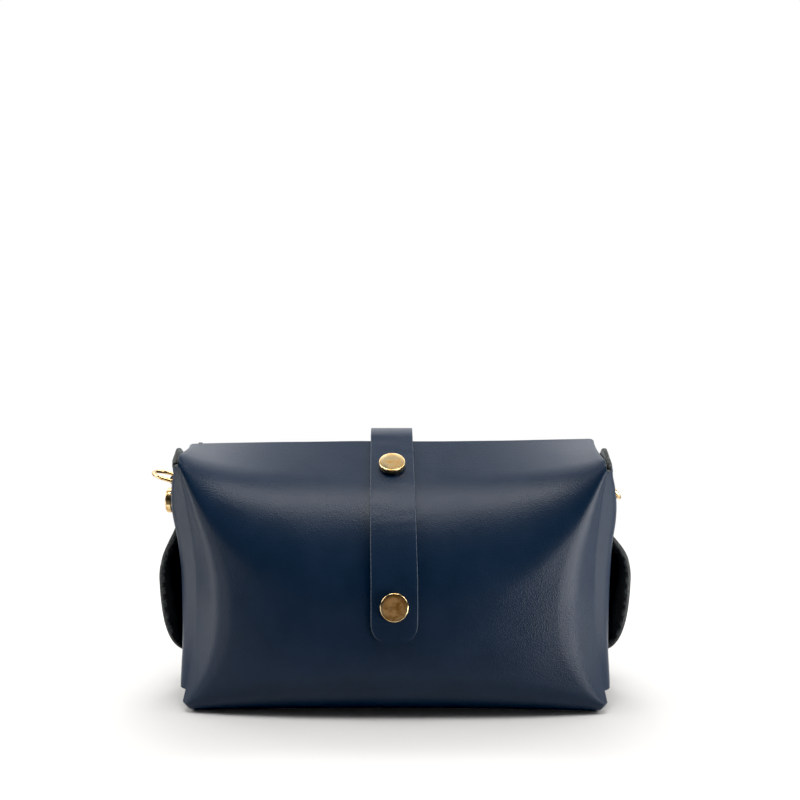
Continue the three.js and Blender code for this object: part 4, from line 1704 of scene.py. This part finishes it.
@dataclass
class RingSet:
    """The folded tab, the D-ring and the stud's seat at one end of the bag.

    The ring rests at a tilt above level, and is turned by a twist in its loose tab, both in degrees.
    """

    hide: Hide
    end: End
    tilt: float
    twist: float
    tab_thick: float = 2.2
    tab_half: float = 4.5
    tab_foot: float = 83.0
    tab_round: float = 0.3
    eye: float = 98.4
    tab_gap: float = 0.8
    curl: float = 2.6
    ply: float = 1.05
    neck: float = 2.2
    stud_up: float = 88.4
    stud_slack: float = 1.3
    wire: float = 0.9
    wire_sides: int = 20
    ring_half: float = 6.6
    ring_arm: float = 5.0
    ring_corner: float = 2.0
    ply_rows: int = 8
    neck_rows: int = 6
    eye_rows: int = 36
    tab_pieces: int = 6
    bar_step: float = 1.1
    corner_steps: int = 8
    bow_rows: int = 19
    sharp: float = 40.0

    def __post_init__(self) -> None:
        """Finds the seat on the side of the bag."""
        heights = np.array((self.tab_foot, self.stud_up))
        hollow = self.hide.dimples[self.end]
        face = float(self.hide.reach(heights, Half.BACK).max()) - hollow + self.tab_gap + self.tab_thick
        inside = float(self.hide.reach(heights[1:], Half.FRONT)[0]) - hollow - LEATHER
        shift = float(self.hide.lean_at(np.array(self.stud_up)))
        sign = self.end.value
        self.middle = sign * (face - self.tab_thick / 2) + shift
        self.seat = Seat(
            np.array((sign * face + shift, 0.0, self.stud_up)),
            np.array((float(sign), 0.0, 0.0)),
            face - inside + self.stud_slack,
        )

    def tab_rows(self) -> Rows:
        """The tab's outer line: up the near ply, round the eye and down the far ply.

        Returns:
            The tab's rows.
        """
        half = self.tab_thick / 2
        reach = self.curl + self.neck
        low = self.eye - math.sqrt(reach**2 - (half + self.neck) ** 2)
        open_angle = math.acos((half + self.neck) / reach)
        climb = np.linspace(self.tab_foot, low, self.ply_rows)
        flat = np.vstack(
            (
                np.column_stack((np.full_like(climb, -half), climb)),
                arc((-half - self.neck, low), self.neck, 0, open_angle, self.neck_rows)[1:],
                arc((0, self.eye), self.curl, math.pi + open_angle, -open_angle, self.eye_rows)[1:],
                arc((half + self.neck, low), self.neck, math.pi - open_angle, math.pi, self.neck_rows)[1:],
                np.column_stack((np.full_like(climb, half), climb[::-1]))[1:],
            )
        )
        way = unit(np.gradient(flat, axis=0))
        count = len(flat)
        sign = self.end.value
        spots = np.column_stack((self.middle + sign * flat[:, 0], np.zeros(count), flat[:, 1]))
        outward = np.column_stack((-sign * way[:, 1], np.zeros(count), way[:, 0]))
        across = np.tile((0.0, 1.0, 0.0), (count, 1))
        return Rows(spots, across, outward, np.ones(count)).capped()

    def ring_rows(self) -> Rows:
        """The ring's centre line: a bar, two short arms and a round bow.

        Returns:
            The ring's rows.
        """
        bend = Corner(0, self.ring_half, self.ring_corner)
        corner = Line([Corner(0, 0), bend, Corner(self.ring_arm, self.ring_half)])
        quarter, _ = corner.at(corner.stations(self.bar_step, self.corner_steps))
        bow = arc((self.ring_arm, 0), self.ring_half, math.pi / 2, 0, self.bow_rows)[1:]
        upper = np.vstack((quarter, bow))
        flat = np.vstack((upper, (upper * (1, -1))[-2:0:-1]))
        way = unit(np.roll(flat, -1, 0) - np.roll(flat, 1, 0))
        sign = self.end.value
        lean, roll = math.radians(self.tilt), math.radians(self.twist)
        out = np.array((sign * math.cos(lean), 0.0, math.sin(lean)))
        level = np.array((0.0, 1.0, 0.0))
        deep = level * math.cos(roll) + sign * np.cross(out, level) * math.sin(roll)
        spots = np.array((self.middle, 0.0, self.eye)) + flat[:, :1] * out + flat[:, 1:] * deep
        outward = -way[:, 1:] * out + way[:, :1] * deep
        across = np.tile(np.cross(out, deep), (len(flat), 1))
        return Rows(spots, across, outward, np.ones(len(flat)), closed=True)

    def build(self, palette: Palette, sweep: Sweep) -> None:
        """Makes the tab, its ring and its stud.

        Args:
            palette: the materials.
            sweep: the sweeping tree.
        """
        side = self.end.name.lower()
        section = strip_section(self.tab_half, self.ply, self.tab_round, self.tab_pieces)
        tab = sweep.make(f"ring_tab_leather_{side}", self.tab_rows(), section, palette.leather(), self.sharp)
        finish_leather(tab, palette.leather(), [self.seat])
        dress(tab, "bag", "dark_leather", f"ring_tab_{side}")
        last = 2 * math.pi * (1 - 1 / self.wire_sides)
        circle = arc((0, 0), self.wire, 0, last, self.wire_sides)
        wire = Section(circle, np.zeros(self.wire_sides, int))
        ring = sweep.make(f"d_ring_{side}", self.ring_rows(), wire, [palette.gold], self.sharp)
        dress(ring, f"{side}_ring", "gold_metal", f"strap_ring_{side}")
        Stud().build(f"side_stud_metal_{side}", f"side_stud_{side}", self.seat, palette, sweep)


# Studio


@dataclass(frozen=True)
class Lamp:
    """A rectangular soft light out of the camera's sight, in metres and watts."""

    name: str
    at: Place
    aim: Place
    size: tuple[float, float]
    watts: float
    colour: str = "#ffffff"
    mirrored: bool = True

    def build(self) -> None:
        """Hangs the light. One that isn't mirrored only lights what is matt."""
        light = bpy.data.lights.new(self.name, "AREA")
        light.shape = "RECTANGLE"
        light.size, light.size_y = self.size
        light.energy = self.watts
        light.color = linear(self.colour)[:3]
        thing = link_object(self.name, light)
        thing.visible_camera = False
        thing.visible_glossy = self.mirrored
        thing.location = self.at
        thing.rotation_euler = (Vector(self.aim) - Vector(self.at)).to_track_quat("-Z", "Y").to_euler()


@dataclass(frozen=True)
class Ramp:
    """A change of the room's brightness along one axis of the way looked in."""

    axis: int
    low: float
    high: float
    start: float
    end: float
    curve: str = "SMOOTHSTEP"


@dataclass
class Studio:
    """The pale floor, the soft lights and the camera at the photograph's angle, in metres."""

    camera_at: Place = (0.0024, -0.422, 0.1364)
    focal_pixels: float = 880.0
    image_pixels: float = 800.0
    sensor: float = 36.0
    table_near: float = -0.127
    table_far: float = 1.6
    table_half: float = 0.22
    table_drop: float = 0.0002
    black: float = 0.006  # the photograph was printed with deep blacks
    behind: Ramp = Ramp(1, 0.1, 0.4, 0.06, 2.6)
    behind_low: Ramp = Ramp(2, 0.4, 0.7, 0.42, 1.0)
    above: Ramp = Ramp(2, 0.7, 0.97, 0.0, 0.3)
    ground: Ramp = Ramp(1, 0.3, 0.9, 0.15, 0.8, "LINEAR")
    horizon: Ramp = Ramp(2, -0.05, 0.02, 0.0, 1.0)
    lamps: tuple[Lamp, ...] = (
        Lamp("top softbox", (0.0, -0.35, 1.25), (0.0, -0.35, 0.0), (0.9, 0.36), 11.0),
        Lamp("back softbox", (0.0, 0.6, 1.2), (0.0, 0.6, 0.0), (0.75, 0.3), 6.4, mirrored=False),
        Lamp("right strip", (0.43, -0.27, -0.05), (0.09, -0.03, 0.05), (0.46, 0.2), 2.5),
        Lamp("left strip", (-0.44, -0.3, -0.02), (-0.09, -0.03, 0.05), (0.3, 0.2), 0.4),
        Lamp("left card", (-0.5, 0.0, -0.08), (-0.1, -0.03, 0.06), (0.2, 0.26), 0.5),
        Lamp("right card", (0.5, 0.0, -0.08), (0.1, -0.03, 0.06), (0.2, 0.26), 0.42),
        Lamp("left fill", (-0.8, -0.1, 0.6), (0.0, 0.0, 0.06), (0.5, 0.5), 5.0),
        Lamp("right fill", (0.8, -0.1, 0.6), (0.0, 0.0, 0.06), (0.5, 0.5), 5.0),
        Lamp("front card", (0.0, -0.6, 0.02), (0.0, 0.0, 0.05), (0.13, 0.13), 0.009, "#ffc27a"),
    )

    def build(self) -> None:
        """Makes the floor, lights, world and camera."""
        self._floor()
        self._world()
        for lamp in self.lamps:
            lamp.build()
        self._camera()
        view = bpy.context.scene.view_settings
        view.view_transform = "Standard"
        view.use_curve_mapping = True
        view.curve_mapping.black_level = (self.black,) * 3
        view.curve_mapping.update()

    def _floor(self) -> None:
        """A pale table that ends just below the picture, so the bag's front mirrors a dark room."""
        near, far, half = self.table_near, self.table_far, self.table_half
        mesh = bpy.data.meshes.new("table")
        corners = [(-half, near, 0), (half, near, 0), (half, far, 0), (-half, far, 0)]
        mesh.from_pydata(corners, [], [(0, 1, 2, 3)])
        table = link_object("table", mesh)
        table.location.z = -self.table_drop
        mesh.materials.append(MattPaper().material())

    def _world(self) -> None:
        """White to the eye, bright above and behind, dark in front, where the camera's room lies."""
        world = bpy.data.worlds.new("studio")
        bpy.context.scene.world = world
        world.use_nodes = True
        tree = world.node_tree
        tree.nodes.clear()
        way = add(tree, "ShaderNodeTexCoord").outputs["Generated"]
        parts = add(tree, "ShaderNodeSeparateXYZ", (way,)).outputs
        levels = []
        for ramp in (self.behind, self.behind_low, self.above, self.ground, self.horizon):
            links = (parts[ramp.axis], ramp.low, ramp.high, ramp.start, ramp.end)
            levels.append(add(tree, RANGE, links, interpolation_type=ramp.curve).outputs["Result"])
        behind, behind_low, above, ground, horizon = levels
        behind = add(tree, "ShaderNodeMath", (behind, behind_low), operation="MULTIPLY").outputs[0]
        sky = add(tree, "ShaderNodeMath", (behind, above), operation="MAXIMUM").outputs[0]
        level = add(tree, MIX, {0: horizon, 2: ground, 3: sky}, data_type="FLOAT").outputs[0]
        white = (1.0, 1.0, 1.0, 1.0)
        room = add(tree, "ShaderNodeBackground", {"Color": white, "Strength": level})
        seen = add(tree, "ShaderNodeBackground", {"Color": white, "Strength": 1.0})
        eye = add(tree, "ShaderNodeLightPath").outputs["Is Camera Ray"]
        both = add(tree, "ShaderNodeMixShader", (eye, room.outputs[0], seen.outputs[0]))
        add(tree, "ShaderNodeOutputWorld", {"Surface": both.outputs[0]})

    def _camera(self) -> None:
        """A level camera in front of the bag."""
        eye = bpy.data.cameras.new("camera")
        eye.sensor_width = self.sensor
        eye.lens = self.focal_pixels / self.image_pixels * self.sensor
        thing = link_object("camera", eye)
        thing.location = self.camera_at
        thing.rotation_euler = (math.pi / 2, 0, 0)
        bpy.context.scene.camera = thing


# The whole bag


@dataclass
class Handbag:
    """The whole bag."""

    snap_up: float = 49.4
    upper_depth: float = -18.5
    back_angle: float = math.radians(15)
    left_ring: tuple[float, float] = (17.0, 5.5)
    right_ring: tuple[float, float] = (-50.0, 0.0)

    def build(self) -> None:
        """Makes every piece on its seat."""
        palette, sweep, hide = Palette(), Sweep(), Hide()
        strap = Strap(hide)
        seats = {
            "front_snap": strap.seat(lambda place, side: place[1] >= self.snap_up),
            "upper_stud": strap.seat(lambda place, side: place[0] >= self.upper_depth),
            "back_stud": strap.seat(lambda place, side: side[0] > math.cos(self.back_angle)),
        }
        rings = [RingSet(hide, End.LEFT, *self.left_ring), RingSet(hide, End.RIGHT, *self.right_ring)]
        strap_seats = list(seats.values())
        hide.build(palette, strap_seats + [ring.seat for ring in rings])
        strap.build(palette, sweep, strap_seats)
        for node, seat in seats.items():
            Stud().build(f"{node}_metal", node, seat, palette, sweep)
        for ring in rings:
            ring.build(palette, sweep)


def main() -> None:
    """Builds the studio and the bag."""
    logging.basicConfig(level=logging.INFO, format="%(message)s")
    Studio().build()
    Handbag().build()


if __name__ == "__main__":
    main()
